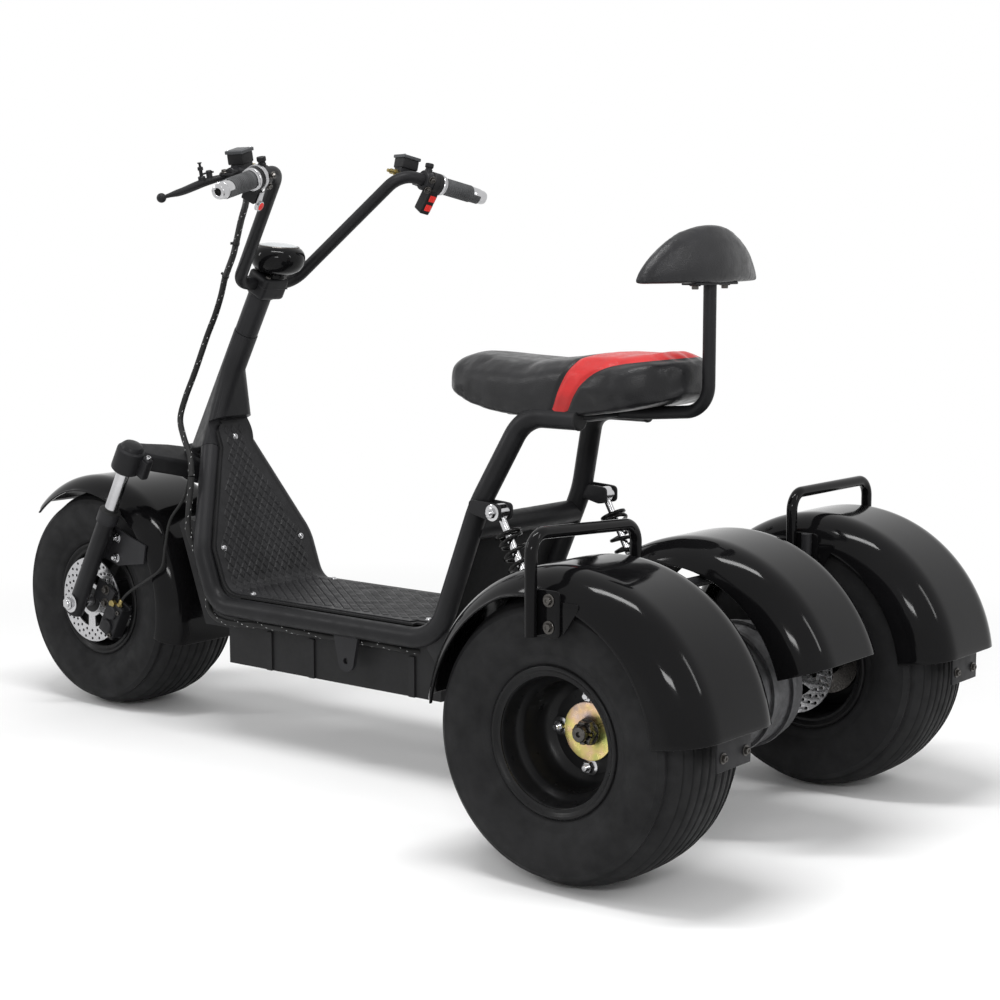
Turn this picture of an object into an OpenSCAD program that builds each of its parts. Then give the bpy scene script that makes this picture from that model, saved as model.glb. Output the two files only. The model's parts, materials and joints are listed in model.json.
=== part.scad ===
// Three-wheeled electric scooter: steered front wheel, tubular step-through frame, driven rear axle.
// Millimetres. +X forward, +Y left, +Z up, origin on the ground under the middle of the machine.

/* [Wheels] */
// Outside diameter of every tyre
tyre_d = 457; // [430:1:470]
// Width of every tyre across its sidewalls
tyre_w = 218; // [200:1:222]
// Radius of the tyre's shoulders
tyre_shoulder = 56; // [45:1:65]
// Bead seat diameter of the rims
rim_d = 203; // [195:1:212]
// Distance between the two flanges of a rim
rim_w = 176; // [160:1:184]
// Height of the rim flanges above the bead seat
flange_h = 16; // [10:1:20]
// Thickness of the rim's sheet
rim_t = 4; // [3:0.5:5]
// Distance between the front and rear axles
wheelbase = 1475; // [1440:1:1520]
// Distance between the middle planes of the rear wheels
track = 737; // [725:1:760]
// Diameter of the front brake disc
front_disc_d = 176; // [160:1:184]
// Diameter of the rear brake discs
rear_disc_d = 162; // [150:1:166]

/* [Steering] */
// Lean of the steering axis from the vertical, in degrees
rake = 28.5; // [27:0.25:30]
// Distance from the steering axis forward to the front axle
fork_offset = 48; // [44:1:52]
// Half the distance between the fork legs
fork_half = 145; // [143:1:150]
// Diameter of the fork's lower legs
fork_leg_d = 36; // [32:1:38]
// Diameter of the fork's chromed upper tubes
stanchion_d = 27; // [24:1:30]
// Outside diameter of the head tube
head_d = 48; // [44:1:52]
// Diameter of the steering shaft
stem_d = 29.9; // [28:0.1:32]
// Diameter of the handlebar tube
bar_d = 24; // [22:1:26]
// Diameter of the rubber grips
grip_d = 34; // [32:1:36]
// Diameter of the instrument's bowl
dial_d = 106; // [96:1:114]

/* [Frame] */
// Diameter of the main frame tubes
tube_d = 38; // [34:1:40]
// Height of the floor tubes' centreline
floor_z = 268; // [262:1:276]
// Half the distance between the two floor tubes
tube_half = 138; // [134:1:144]
// Lean of the front panel from the vertical, in degrees
panel_lean = 20; // [18:0.5:22]
// Distance from the rear axle to the front corner of the floor tubes
floor_front = 1066; // [1050:1:1080]
// Distance from the rear axle to the rear corner of the floor tubes
floor_rear = 503; // [490:1:515]
// Height of the seat tubes' centreline
seat_tube_z = 656; // [645:1:668]
// Half the distance between the seat tubes
seat_tube_half = 100; // [94:1:106]
// Thickness of the footboard plate
board_t = 4; // [3:0.5:6]

/* [Body] */
// Height of the battery box
battery_h = 105; // [95:1:115]
// Outside radius of the rear fenders
fender_r = 278; // [272:1:286]
// Thickness of the fenders' sheet
fender_t = 3; // [2:0.5:4]
// Half the outside width of the rear fenders
fender_half = 119; // [118:0.5:122]
// Radius of the rear fenders' shoulders
fender_round = 60; // [50:1:66]
// Outside radius of the front fender
front_fender_r = 258; // [252:1:264]
// Half the outside width of the front fender
front_fender_half = 118; // [117:0.5:120]
// Radius of the front fender's shoulders
front_fender_round = 48; // [40:1:54]
// Diameter of the grab rails' tube
rail_d = 19; // [16:1:21]
// Height of the grab rails' top centreline
rail_z = 534; // [526:1:544]
// Length of the shock absorbers between their eyes
shock_l = 230; // [222:1:238]
// Outside diameter of the shock springs
spring_d = 48; // [44:1:50]
// Wire diameter of the shock springs
wire_d = 7; // [6:0.5:8]

/* [Seat] */
// Length of the seat cushion
seat_l = 525; // [500:1:540]
// Height of the cushion at its nose
seat_h = 92; // [80:1:100]
// Thickness of the seat pan
pan_t = 8; // [6:1:10]
// Height of the backrest pad's lower edge
back_z = 905; // [880:1:930]
// Width of the backrest pad
back_w = 320; // [290:1:340]
// Diameter of the backrest post
post_d = 22; // [20:1:25]

/* [Hidden] */
$fn = 64;
FACETS = 24;
fit = 0.2;
seat_gap = 0.3;
run_gap = 0.05;
tyre_r = tyre_d / 2;
rim_r = rim_d / 2;
fender_back = 22;
rear_reach = fender_r + fender_back;
rear_axle_x = (rear_reach - wheelbase - tyre_r) / 2;
tube_r = tube_d / 2;
wheel_y = track / 2;

// Frames of reference: X counted from the rear axle, and the steering axis along Z
module from_rear_axle() translate([rear_axle_x, 0, 0]) children();
module steering_frame() {
  from_rear_axle() translate([wheelbase, 0, tyre_r]) rotate([0, -rake, 0])
    translate([-fork_offset, 0, 0]) children();
}
module both_sides() {
  children();
  mirror([0, 1, 0]) children();
}
module side(sign) {
  if (sign > 0) children();
  else mirror([0, 1, 0]) children();
}
module along_y() rotate([-90, 0, 0]) children();
module over_y() rotate([90, 0, 0]) children();

// Round bar between two points
module rod(d, a, b) {
  v = b - a;
  l = norm(v);
  translate(a) rotate([0, acos(v.z / l), atan2(v.y, v.x)]) cylinder(d = d, h = l);
}

// Swept tube: a ring of corners at each route point, square to the route, turned by the reference
function unit(v) = v / norm(v);
function route_dir(p, i) = unit(p[min(i + 1, len(p) - 1)] - p[max(i - 1, 0)]);
function route_ring(p, i, d, n, ref) =
  let (t = route_dir(p, i), x = unit(cross(ref, t)), y = cross(t, x))
  [for (k = [0 : n - 1]) p[i] + d / 2 * (cos(360 * k / n) * x + sin(360 * k / n) * y)];
function quad_corner(i, k, n) = i * n + k % n;
function sweep_faces(rings, n) = concat(
  [[for (k = [0 : n - 1]) k]],
  [for (i = [0 : rings - 2], k = [0 : n - 1])
    [quad_corner(i + 1, k + 1, n), quad_corner(i, k + 1, n), quad_corner(i, k, n)]],
  [for (i = [0 : rings - 2], k = [0 : n - 1])
    [quad_corner(i + 1, k, n), quad_corner(i + 1, k + 1, n), quad_corner(i, k, n)]],
  [[for (k = [n - 1 : -1 : 0]) (rings - 1) * n + k]]
);
module sweep(d, route, sides, ref) {
  polyhedron(
    [for (i = [0 : len(route) - 1]) each route_ring(route, i, d, sides, ref)],
    sweep_faces(len(route), sides)
  );
}

// Bent tube: straight runs through the points, an arc of the given radius at each inner one
function bend_arc(p, i, r, steps) = let (
  u = unit(p[i] - p[i - 1]),
  v = unit(p[i + 1] - p[i]),
  turn = acos(u * v),
  n = unit(v - (u * v) * u),
  c = p[i] - r * tan(turn / 2) * u + r * n
) [for (k = [0 : steps]) c + r * (sin(turn * k / steps) * u - cos(turn * k / steps) * n)];
function bent_route(p, r, steps) = concat(
  [p[0]],
  [for (i = [1 : len(p) - 2]) each bend_arc(p, i, r[i - 1], steps)],
  [p[len(p) - 1]]
);
module bent_tube(d, p, r, ref = [0, 1, 0], sides = 20, steps = 7) {
  sweep(d, bent_route(p, r, steps), sides, ref);
}

// Cable: a smooth curve through hand-placed points
function mid_route(p, i, s) =
  let (a = p[max(i - 1, 0)], b = p[i], c = p[i + 1], e = p[min(i + 2, len(p) - 1)])
  0.5 * (2 * b + (c - a) * s + (2 * a - 5 * b + 4 * c - e) * s * s
    + (3 * b - a - 3 * c + e) * s * s * s);
function smooth_route(p, steps) = concat(
  [for (i = [0 : len(p) - 2], k = [0 : steps - 1]) mid_route(p, i, k / steps)],
  [p[len(p) - 1]]
);
module cable(d, p, ref = [0, 1, 0], sides = 8, steps = 3) {
  sweep(d, smooth_route(p, steps), sides, ref);
}

// Wheels
web_out = -6;
web_t = 5;
bolt_count = 4;
bolt_pcd = 112;
bolt_d = 10;
groove_count = 8;
groove_w = 5;
groove_h = 6;
tread_half = tyre_w / 2 - tyre_shoulder + 28;
rear_shaft_d = 25;
rear_shaft_in = -190;
rear_shaft_out = 26;
disc_t = 4;
rear_disc_y = -139;
front_disc_y = 106;
front_hub_half = 100;
front_axle_d = 15;

module ring_section(r_in, r_out, y0, y1) translate([r_in, y0]) square([r_out - r_in, y1 - y0]);
module tyre() color([0.05, 0.05, 0.05]) along_y() rotate_extrude() difference() {
  bead = rim_w / 2 - fit;
  low = rim_r + fit;
  belt = tyre_r - tyre_shoulder;
  union() {
    for (s = [-1, 1]) translate([belt, s * (tyre_w / 2 - tyre_shoulder)]) circle(tyre_shoulder);
    polygon([
      [low, -bead], [rim_r + flange_h, -bead], [belt, -tyre_w / 2],
      [belt, tyre_w / 2], [rim_r + flange_h, bead], [low, bead]
    ]);
    ring_section(belt, tyre_r, tyre_shoulder - tyre_w / 2, tyre_w / 2 - tyre_shoulder);
  }
  for (i = [0 : groove_count - 1]) {
    y = tread_half * (2 * i / (groove_count - 1) - 1);
    ring_section(tyre_r - groove_h - (i == 0 || i == groove_count - 1 ? groove_h : 0),
      tyre_r, y - groove_w / 2, y + groove_w / 2);
  }
}
module bolt_circle(pcd, count) {
  for (k = [0 : count - 1]) rotate(360 * k / count) translate([pcd / 2, 0, 0]) children();
}
module rim(bore) color([0.06, 0.06, 0.06]) along_y() difference() {
  inner = rim_r - rim_t;
  rotate_extrude() {
    ring_section(inner, rim_r, -rim_w / 2 - rim_t, rim_w / 2 + rim_t);
    for (s = [-1, 1]) ring_section(inner, rim_r + flange_h,
      s * (rim_w + rim_t) / 2 - rim_t / 2, s * (rim_w + rim_t) / 2 + rim_t / 2);
    ring_section(bore / 2 + fit, inner + fit, web_out - web_t, web_out);
  }
  translate([0, 0, web_out - web_t - 1]) bolt_circle(bolt_pcd, bolt_count)
    cylinder(d = bolt_d + 2 * fit, h = web_t + 2);
}
hub_sleeve_d = 60;
hub_flange_d = 136;
hub_flange_t = 7;
hub_cap_d = 92;
nut_h = 9;
module wheel_bolts() {
  translate([0, 0, web_out - web_t - fit]) bolt_circle(bolt_pcd, bolt_count)
    cylinder(d = bolt_d, h = web_t + fit + nut_h + 6);
  translate([0, 0, web_out + fit]) bolt_circle(bolt_pcd, bolt_count)
    cylinder(d = 1.8 * bolt_d, h = nut_h, $fn = 6);
}
module rear_hub() color([0.72, 0.62, 0.3]) along_y() {
  wheel_bolts();
  translate([0, 0, web_out - web_t - fit - hub_flange_t]) cylinder(d = hub_flange_d, h = hub_flange_t);
  translate([0, 0, rear_disc_y + disc_t]) cylinder(d = hub_sleeve_d,
    h = web_out - web_t - fit - rear_disc_y - disc_t - 1);
  translate([0, 0, web_out + fit]) cylinder(d = hub_cap_d, h = -web_out);
  translate([0, 0, rear_shaft_in]) cylinder(d = rear_shaft_d, h = rear_shaft_out - rear_shaft_in);
  cylinder(d = 1.5 * rear_shaft_d, h = 14, $fn = 6);
}
module brake_disc(d, carrier) color([0.75, 0.75, 0.76]) along_y() difference() {
  hole_d = 7;
  cylinder(d = d, h = disc_t);
  translate([0, 0, -1]) cylinder(d = carrier, h = disc_t + 2);
  translate([0, 0, -1]) for (row = [0, 1]) rotate(row * 9)
    bolt_circle(d - 18 - row * 22, 20) cylinder(d = hole_d, h = disc_t + 2, $fn = 16);
  translate([0, 0, -1]) bolt_circle((d + carrier) / 2 - 16, 6) cylinder(d = 22, h = disc_t + 2);
}
module rear_disc() translate([0, rear_disc_y, 0]) brake_disc(rear_disc_d, rear_shaft_d + 2 * fit);
module front_hub() color([0.1, 0.1, 0.1]) along_y() difference() {
  union() {
    translate([0, 0, -front_hub_half]) cylinder(d = hub_sleeve_d, h = front_hub_half + web_out - web_t - fit);
    translate([0, 0, web_out + fit]) cylinder(d = hub_sleeve_d, h = front_hub_half - web_out - fit);
    translate([0, 0, web_out - web_t - 1]) cylinder(d = hub_sleeve_d - 8, h = web_t + 2);
    translate([0, 0, web_out - web_t - fit - hub_flange_t]) cylinder(d = hub_flange_d, h = hub_flange_t);
    translate([0, 0, front_hub_half - fit]) cylinder(d = hub_sleeve_d - 8, h = front_disc_y + disc_t - front_hub_half);
    wheel_bolts();
  }
  translate([0, 0, -front_hub_half - 1])
    cylinder(d = front_axle_d + 2 * run_gap, h = 2 * front_hub_half + disc_t + 10);
}
module front_brake_disc() translate([0, front_disc_y, 0]) brake_disc(front_disc_d, hub_sleeve_d - 8 + 2 * fit);
module front_wheel_place() from_rear_axle() translate([wheelbase, 0, tyre_r]) children();
module rear_wheel_place(sign) side(sign) from_rear_axle() translate([0, wheel_y, tyre_r]) children();
module front_tyre() front_wheel_place() tyre();
module front_rim() front_wheel_place() rim(hub_sleeve_d - 8);
module front_hub_node() front_wheel_place() front_hub();
module front_disc() front_wheel_place() front_brake_disc();

// Steering: heights along the steering axis, counted from the foot of the axle's perpendicular
crown_low = 332;
crown_top = 384;
head_low = crown_top + 1;
head_top = 664;
collar_low = head_top + 1;
clamp_low = 752;
clamp_top = 798;
bar_x = -13;
bar_z = 780;
clamp_d = 58;
crown_arm_w = 42;
collar_z = 205;
stanchion_low = 150;
leg_low = -24;

module head_tube() color([0.1, 0.1, 0.1]) difference() {
  union() {
    steering_frame() translate([0, 0, head_low]) cylinder(d = head_d, h = head_top - head_low);
    hull() {
      $fn = 32;
      steering_frame() translate([0, 0, head_low + 4]) cylinder(d = head_d - 1, h = 200);
      for (s = [-1, 1]) side(s) from_rear_axle()
        rod(tube_d, neck_end() + neck_dir(), neck_end() + 14 * neck_dir());
    }
  }
  steering_frame() translate([0, 0, head_low - 1]) cylinder(d = stem_d + 2 * run_gap, h = head_top - head_low + 2);
  steering_frame() translate([0, 0, head_low - 60]) cylinder(d = 2 * head_d, h = 60);
  from_rear_axle() translate([floor_front - tube_r / cos(panel_lean), -tube_half, floor_z]) rotate([0, panel_lean, 0])
    translate([-100, 0, 0]) cube([100, 2 * tube_half, (panel_top_z + 2 - floor_z) / cos(panel_lean)]);
}
module steering_stem() color([0.1, 0.1, 0.1]) steering_frame() {
  translate([0, 0, crown_top]) cylinder(d = stem_d, h = clamp_low - crown_top);
  translate([0, 0, collar_low]) cylinder(d = head_d - 2, h = clamp_low - collar_low);
}
module fork_crown() color([0.09, 0.09, 0.09]) steering_frame() difference() {
  h = crown_top - crown_low;
  arm = crown_arm_w / 2;
  union() {
    translate([0, 0, crown_low]) linear_extrude(h) polygon([
      [-arm, crown_arm_w], [fork_offset - arm, fork_half], [fork_offset + arm, fork_half],
      [fork_offset + 6, crown_arm_w], [arm + 6, 0], [fork_offset + 6, -crown_arm_w],
      [fork_offset + arm, -fork_half], [fork_offset - arm, -fork_half], [-arm, -crown_arm_w]
    ]);
    translate([0, 0, crown_low]) cylinder(d = 1.4 * head_d, h = h);
    both_sides() {
      translate([fork_offset, fork_half, crown_low]) cylinder(d = clamp_d, h = h);
      translate([fork_offset - clamp_d / 2 - 16, fork_half - 30, crown_low - 8]) cube([30, 18, h]);
    }
  }
  both_sides() translate([fork_offset, fork_half, crown_low - 20])
    cylinder(d = stanchion_d + 2 * fit, h = h + 12);
}
module fork_stanchions() color([0.85, 0.85, 0.86]) steering_frame() both_sides()
  translate([fork_offset, fork_half, stanchion_low]) cylinder(d = stanchion_d, h = crown_top - 8 - stanchion_low);
tab_t = 4;
tab_y = front_fender_half + seat_gap;
module fork_legs() color([0.1, 0.1, 0.1]) steering_frame() both_sides() difference() {
  translate([fork_offset, 0, 0]) union() {
    translate([0, fork_half, leg_low]) cylinder(d = fork_leg_d, h = collar_z - leg_low);
    translate([0, fork_half, collar_z - 4]) cylinder(d = fork_leg_d + 8, h = 26);
    translate([0, tab_y, 0]) rotate([90, 0, 0]) mirror([0, 0, 1]) linear_extrude(tab_t)
      polygon([[0, 112], [-50, 122], [-112, 168], [-100, 204], [-60, 196], [0, 188]]);
    translate([-14, tab_y, 118]) cube([14, fork_half - tab_y, 64]);
  }
  translate([fork_offset, fork_half, stanchion_low - 1]) cylinder(d = stanchion_d + 2 * fit, h = 200);
  translate([fork_offset, fork_half - fork_leg_d, 0]) along_y()
    cylinder(d = front_axle_d + 2 * fit, h = 2 * fork_leg_d);
}
module front_axle() color([0.8, 0.8, 0.82]) steering_frame() translate([fork_offset, 0, 0]) along_y() {
  out = fork_half + fork_leg_d / 2;
  translate([0, 0, -out - 14]) cylinder(d = front_axle_d, h = 2 * out + 28);
  for (s = [-1, 1]) {
    translate([0, 0, s * (out + 5) - 5]) cylinder(d = 1.6 * front_axle_d, h = 10, $fn = 6);
    spacer = fork_half - fork_leg_d / 2 - front_disc_y - disc_t - 2;
    translate([0, 0, s * (front_disc_y + disc_t + 1 + spacer / 2) - spacer / 2])
      cylinder(d = front_axle_d + 9, h = spacer);
  }
}
front_fender_from = 45;
front_fender_to = 196;
module rounded_section(r_in, r_out, half, s) {
  ring_section(r_in, r_out - s, -half, half);
  ring_section(r_in, r_out, s - half, half - s);
  for (m = [-1, 1]) translate([r_out - s, m * (half - s)]) circle(s);
}
module fender_section(r_in, r_out, half, s) difference() {
  rounded_section(r_in, r_out, half, s);
  rounded_section(r_in - 1, r_out - fender_t, half - fender_t, s - fender_t);
}
module fender_shell(r_in, r_out, half, s, from, to) over_y() rotate(from)
  rotate_extrude(angle = to - from) fender_section(r_in, r_out, half, s);
front_cut_r = 226;
fender_in = 150;
front_cut_x = 20;
pad_gap = 5.2;
module front_fender() color([0.03, 0.03, 0.03]) front_wheel_place() difference() {
  fender_shell(fender_in, front_fender_r, front_fender_half, front_fender_round, front_fender_from, front_fender_to);
  translate([front_cut_x, -front_fender_half - 1, 0]) along_y()
    cylinder(r = front_cut_r, h = 2 * front_fender_half + 2);
}
module front_caliper() color([0.08, 0.08, 0.08]) steering_frame() translate([fork_offset, 0, 0]) difference() {
  inner = front_disc_y - 8;
  outer = front_disc_y + disc_t + 14;
  union() {
    translate([-104, inner, -30]) cube([48, outer - inner, 78]);
    translate([-60, outer - 8, 20]) cube([60 - fork_leg_d / 2 + 3, 8, 46]);
    translate([-104, outer - 1, -10]) cube([40, 9, 40]);
  }
  translate([-95, front_disc_y - pad_gap, -40]) cube([60, disc_t + 2 * pad_gap, 110]);
  translate([0, fork_half, leg_low]) cylinder(d = fork_leg_d + 2 * fit, h = 260);
}

// Handlebar in the steering frame: the half from the clamp to the end of the left grip
bar_low_y = 74;
bar_top = [-43, 150, 1035];
bar_end = [-148, 361, 1046];
grip_dir = unit([-29, 111, -16]);
bar_straight = 190;
bar_short = 10;
bar_half = [
  [bar_x, bar_low_y, bar_z], bar_top, bar_end - bar_straight * grip_dir, bar_end - bar_short * grip_dir
];
bar_bends = [32, 40, 60];
function bar_path() = concat([for (i = [3 : -1 : 0]) [bar_half[i].x, -bar_half[i].y, bar_half[i].z]], bar_half);
module handlebar() color([0.08, 0.08, 0.08]) steering_frame()
  bent_tube(bar_d, bar_path(), concat([for (i = [2, 1, 0]) bar_bends[i]], bar_bends), [1, 0, 0], 16, 6);
module bar_clamp() color([0.1, 0.1, 0.1]) steering_frame() difference() {
  union() {
    translate([0, 0, clamp_low]) cylinder(d = head_d + 6, h = 10);
    translate([bar_x - 24, -30, clamp_low + 4]) cube([48, 60, clamp_top - clamp_low - 4]);
  }
  translate([bar_x, -60, bar_z]) along_y() cylinder(d = bar_d + 2 * fit, h = 120);
}
dial_h = 58;
dial_tilt = 6;
dial_foot_d = 36;
dial_place = [-18, 0, 848];
module dial_frame() steering_frame() translate(dial_place) rotate([0, rake - dial_tilt, 0]) children();
module instrument() color([0.04, 0.04, 0.04]) difference() {
  dial_frame() rotate_extrude() difference() {
    union() {
      intersection() {
        translate([0, 6]) circle(d = dial_d);
        translate([0, -dial_h]) square([dial_d, dial_h + 6]);
      }
      ring_section(0, dial_d / 2, 0, 6);
      ring_section(0, dial_d / 2 - 4, 5, 11);
      ring_section(0, dial_foot_d / 2, -dial_d, 0);
    }
    translate([-dial_d, -dial_d]) square([dial_d, 2 * dial_d]);
  }
  steering_frame() translate([-100, -100, clamp_top - 100]) cube([200, 200, 100 + seat_gap]);
}
// Controls, each placed by its distance from the outer end of the grip, with Y along the bar
cap_l = 36;
grip_l = 68;
ring_l = 10;
pod_w = 22;
perch_w = 18;
pod_drop = 62;
boss_hole_d = 8;
boss_top = 42;
boss_x = -4;
cylinder_x = 84;
cylinder_z = 16;
cylinder_y = [-36, 30];
lever_pivot = [cylinder_x + 9, 28, 14];
lever_bend = [112, 74, 12];
lever_tip = [98, 174, 12];
grip_at = cap_l + seat_gap + grip_l;
ring_at = grip_at + seat_gap + ring_l;
pod_at = ring_at + seat_gap + pod_w;
perch_at = pod_at + seat_gap + perch_w / 2;
module bar_frame(at) steering_frame() both_sides() translate(bar_end - at * grip_dir)
  rotate([asin(grip_dir.z), 0, atan2(-grip_dir.x, grip_dir.y)]) children();
module perch_frame() bar_frame(perch_at) rotate([0, rake, 0]) children();
module on_bar(at, l, d) bar_frame(at) along_y() cylinder(d = d, h = l);
module bar_hole() on_bar(bar_straight, bar_straight - bar_short + seat_gap, bar_d + 2 * fit);
module grips() color([0.12, 0.12, 0.12]) difference() {
  on_bar(grip_at, grip_l, grip_d);
  bar_hole();
}
module grip_ends() color([0.8, 0.8, 0.82]) difference() {
  union() {
    bar_frame(cap_l) along_y() cylinder(d1 = grip_d - 1, d2 = grip_d - 8, h = cap_l);
    on_bar(ring_at, ring_l, grip_d + 4);
  }
  bar_hole();
}
module brake_levers() color([0.06, 0.06, 0.06]) difference() {
  union() {
    on_bar(perch_at + perch_w / 2, perch_w, bar_d + 16);
    perch_frame() {
      rod(16, [bar_d / 2, 0, 4], [cylinder_x, 2, cylinder_z]);
      rod(20, [cylinder_x, cylinder_y[0], cylinder_z], [cylinder_x, cylinder_y[1], cylinder_z]);
      translate([cylinder_x - 12, cylinder_y[0], cylinder_z]) cube([24, 38, 11]);
      translate(lever_pivot - [0, 0, 8]) cylinder(d = 16, h = 20);
      bent_tube(11, [lever_pivot, lever_bend, lever_tip], [40], [0, 0, 1], 12, 5);
      translate(lever_tip) hull() sphere(d = 17, $fn = 16);
      translate([boss_x, 0, 10]) cylinder(d = 15, h = boss_top - 10);
    }
  }
  bar_hole();
  perch_frame() translate([boss_x, 0, boss_top - 18]) cylinder(d = boss_hole_d, h = 20);
}
module fluid_reservoirs() color([0.08, 0.08, 0.08]) perch_frame()
  translate([cylinder_x - 17, cylinder_y[0] - 2, cylinder_z + 11 + seat_gap]) cube([36, 42, 26]);
module switch_pods() color([0.08, 0.08, 0.08]) difference() {
  union() {
    on_bar(pod_at, pod_w, bar_d + 18);
    bar_frame(pod_at) translate([-17, 0, -pod_drop]) cube([30, pod_w, pod_drop - 10]);
  }
  bar_hole();
}

// Frame tubes, from the neck down, along the floor and up to the seat
bend_front = 60;
bend_rear = 90;
bend_seat = 75;
seat_tube_end = 245;
seat_bend_x = 340;
lean_x = tan(panel_lean);
function panel_x(z) = floor_front + (z - floor_z) * lean_x;
shoulder_z = 372;
neck_z = 560;
neck_half = 48;
function neck_end() = [panel_x(neck_z), neck_half, neck_z];
function neck_dir() = unit(neck_end() - [panel_x(shoulder_z), tube_half, shoulder_z]);
function tube_path() = [
  neck_end(),
  [panel_x(shoulder_z), tube_half, shoulder_z],
  [floor_front, tube_half, floor_z],
  [floor_rear, tube_half, floor_z],
  [seat_bend_x, seat_tube_half, seat_tube_z],
  [seat_tube_end, seat_tube_half, seat_tube_z]
];
pivot = [455, 0, 230];
pivot_pin_d = 16;
lug_t = 8;
shock_top = [350, 152, 514];
shock_lean = 28;
shock_eye_w = 26;
shock_pin_d = 12;
bracket_t = 5;
function rear_tube_at(z) =
  let (a = tube_path()[3], b = tube_path()[4], s = (z - a.z) / (b.z - a.z)) a + s * (b - a);
module frame_tube() from_rear_axle() {
  top = rear_tube_at(shock_top.z);
  difference() {
    union() {
      bent_tube(tube_d, tube_path(), [90, bend_front, bend_rear, bend_seat]);
      translate([pivot.x - 26, tube_half - lug_t / 2, pivot.z - 24]) cube([92, lug_t, 80]);
      for (s = [-1, 1]) translate([shock_top.x - 16, shock_top.y + s * (shock_eye_w / 2 + seat_gap + bracket_t / 2)
        - bracket_t / 2, shock_top.z - 16]) cube([top.x - shock_top.x + 12, bracket_t, 36]);
      translate([top.x - 8, top.y, shock_top.z - 16])
        cube([10, shock_top.y + shock_eye_w / 2 + seat_gap + bracket_t - top.y, 36]);
    }
    translate([pivot.x, 0, pivot.z]) along_y() cylinder(d = pivot_pin_d + 2 * fit, h = 2 * tube_half);
    translate([shock_top.x, 0, shock_top.z]) along_y() cylinder(d = shock_pin_d + 2 * fit, h = 2 * tube_half);
    rod(tube_d - 6, tube_path()[5] - [1, 0, 0], tube_path()[5] + [40, 0, 0]);
  }
}
module frame_tube_left() color([0.09, 0.09, 0.09]) frame_tube();
module frame_tube_right() color([0.09, 0.09, 0.09]) mirror([0, 1, 0]) frame_tube();
cross_d = 25;
cross_x = [600, 800, 1000];
rear_cross_z = 478;
rear_cross_d = 42;
seat_cross_x = 262;
module tube_clearance() from_rear_axle() both_sides() for (i = [1 : 4])
  rod(tube_d + 2 * fit, tube_path()[i], tube_path()[i + 1]);
module frame_cross_tubes() color([0.09, 0.09, 0.09]) difference() {
  from_rear_axle() {
    for (x = cross_x) rod(cross_d, [x, -tube_half, floor_z], [x, tube_half, floor_z]);
    mid = rear_tube_at(rear_cross_z);
    rod(rear_cross_d, [mid.x, -mid.y, mid.z], [mid.x, mid.y, mid.z]);
    rod(cross_d, [seat_cross_x, -seat_tube_half, seat_tube_z], [seat_cross_x, seat_tube_half, seat_tube_z]);
  }
  tube_clearance();
}

// Footboard: a flat floor that sweeps up into the leaning front panel
board_half = tube_half - 8;
board_z = floor_z + tube_r + seat_gap;
board_bend = 44;
panel_top_z = 612;
panel_top_half = 44;
board_rear = 528;
board_notch = 40;
module board_side() {
  turn = 90 - panel_lean;
  start = floor_front - tube_r / cos(panel_lean) - seat_gap - board_bend * tan(turn / 2) + (board_z - floor_z) * lean_x;
  arc = [for (a = [0 : 7 : turn]) [start + board_bend * sin(a), board_z + board_bend * (1 - cos(a))]];
  arc_in = [for (a = [turn : -7 : 0])
    [start + (board_bend - board_t) * sin(a), board_z + board_t + (board_bend - board_t) * (1 - cos(a))]];
  last = arc[len(arc) - 1];
  last_in = arc_in[0];
  rise = panel_top_z - last.y;
  polygon(concat(
    [[board_rear, board_z]], arc, [[last.x + rise * lean_x, last.y + rise]],
    [[last_in.x + rise * lean_x, last_in.y + rise]], arc_in, [[board_rear, board_z + board_t]]
  ));
}
module board_front() {
  polygon([
    [-board_half, 0], [board_half, 0], [board_half, shoulder_z + 6],
    [panel_top_half, panel_top_z - 50], [-panel_top_half, panel_top_z - 50], [-board_half, shoulder_z + 6]
  ]);
  translate([-panel_top_half + 20, panel_top_z - 60]) square([2 * panel_top_half - 40, 60]);
  for (s = [-1, 1]) translate([s * (panel_top_half - 20), panel_top_z - 30]) circle(r = 20);
  translate([-panel_top_half, panel_top_z - 60]) square([2 * panel_top_half, 30]);
}
module footboard() color([0.12, 0.12, 0.12]) from_rear_axle() intersection() {
  translate([0, board_half + 1, 0]) over_y() linear_extrude(2 * board_half + 2) board_side();
  difference() {
    translate([board_rear - 1, 0, 0]) rotate([90, 0, 90]) linear_extrude(900) board_front();
    both_sides() translate([board_rear - 2, tube_half - tube_r, 0]) cube([board_notch, tube_r, board_z + 2 * board_t]);
  }
}
battery_x0 = 520;
battery_x1 = 1064;
battery_half = 108;
battery_top = floor_z - cross_d / 2 - seat_gap;
rib_w = 14;
rib_h = 4;
module battery_box() color([0.1, 0.1, 0.1]) from_rear_axle() {
  z0 = battery_top - battery_h;
  translate([battery_x0, -battery_half, z0]) cube([battery_x1 - battery_x0, 2 * battery_half, battery_h]);
  for (x = [battery_x0 + 60, (battery_x0 + battery_x1) / 2 + 40, battery_x1 - 120])
    translate([x, -battery_half - rib_h, z0]) cube([rib_w, 2 * (battery_half + rib_h), battery_h - 30]);
}
box_half = 76;
box_low = 210;
box_top = 420;
box_front = 1238;
box_toe = 1166;
box_back_z = 396;
module controller_box() color([0.06, 0.06, 0.06]) from_rear_axle() translate([0, box_half, 0]) over_y()
  linear_extrude(2 * box_half) {
    back = tube_r / cos(panel_lean);
    step_x = battery_x1 + seat_gap;
    polygon([
      [step_x, box_low], [box_toe, box_low], [box_front, box_top - 14], [box_front - 18, box_top],
      [panel_x(box_back_z) - back, box_back_z], [step_x, floor_z + (step_x + back - floor_front) / lean_x]
    ]);
  }
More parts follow.
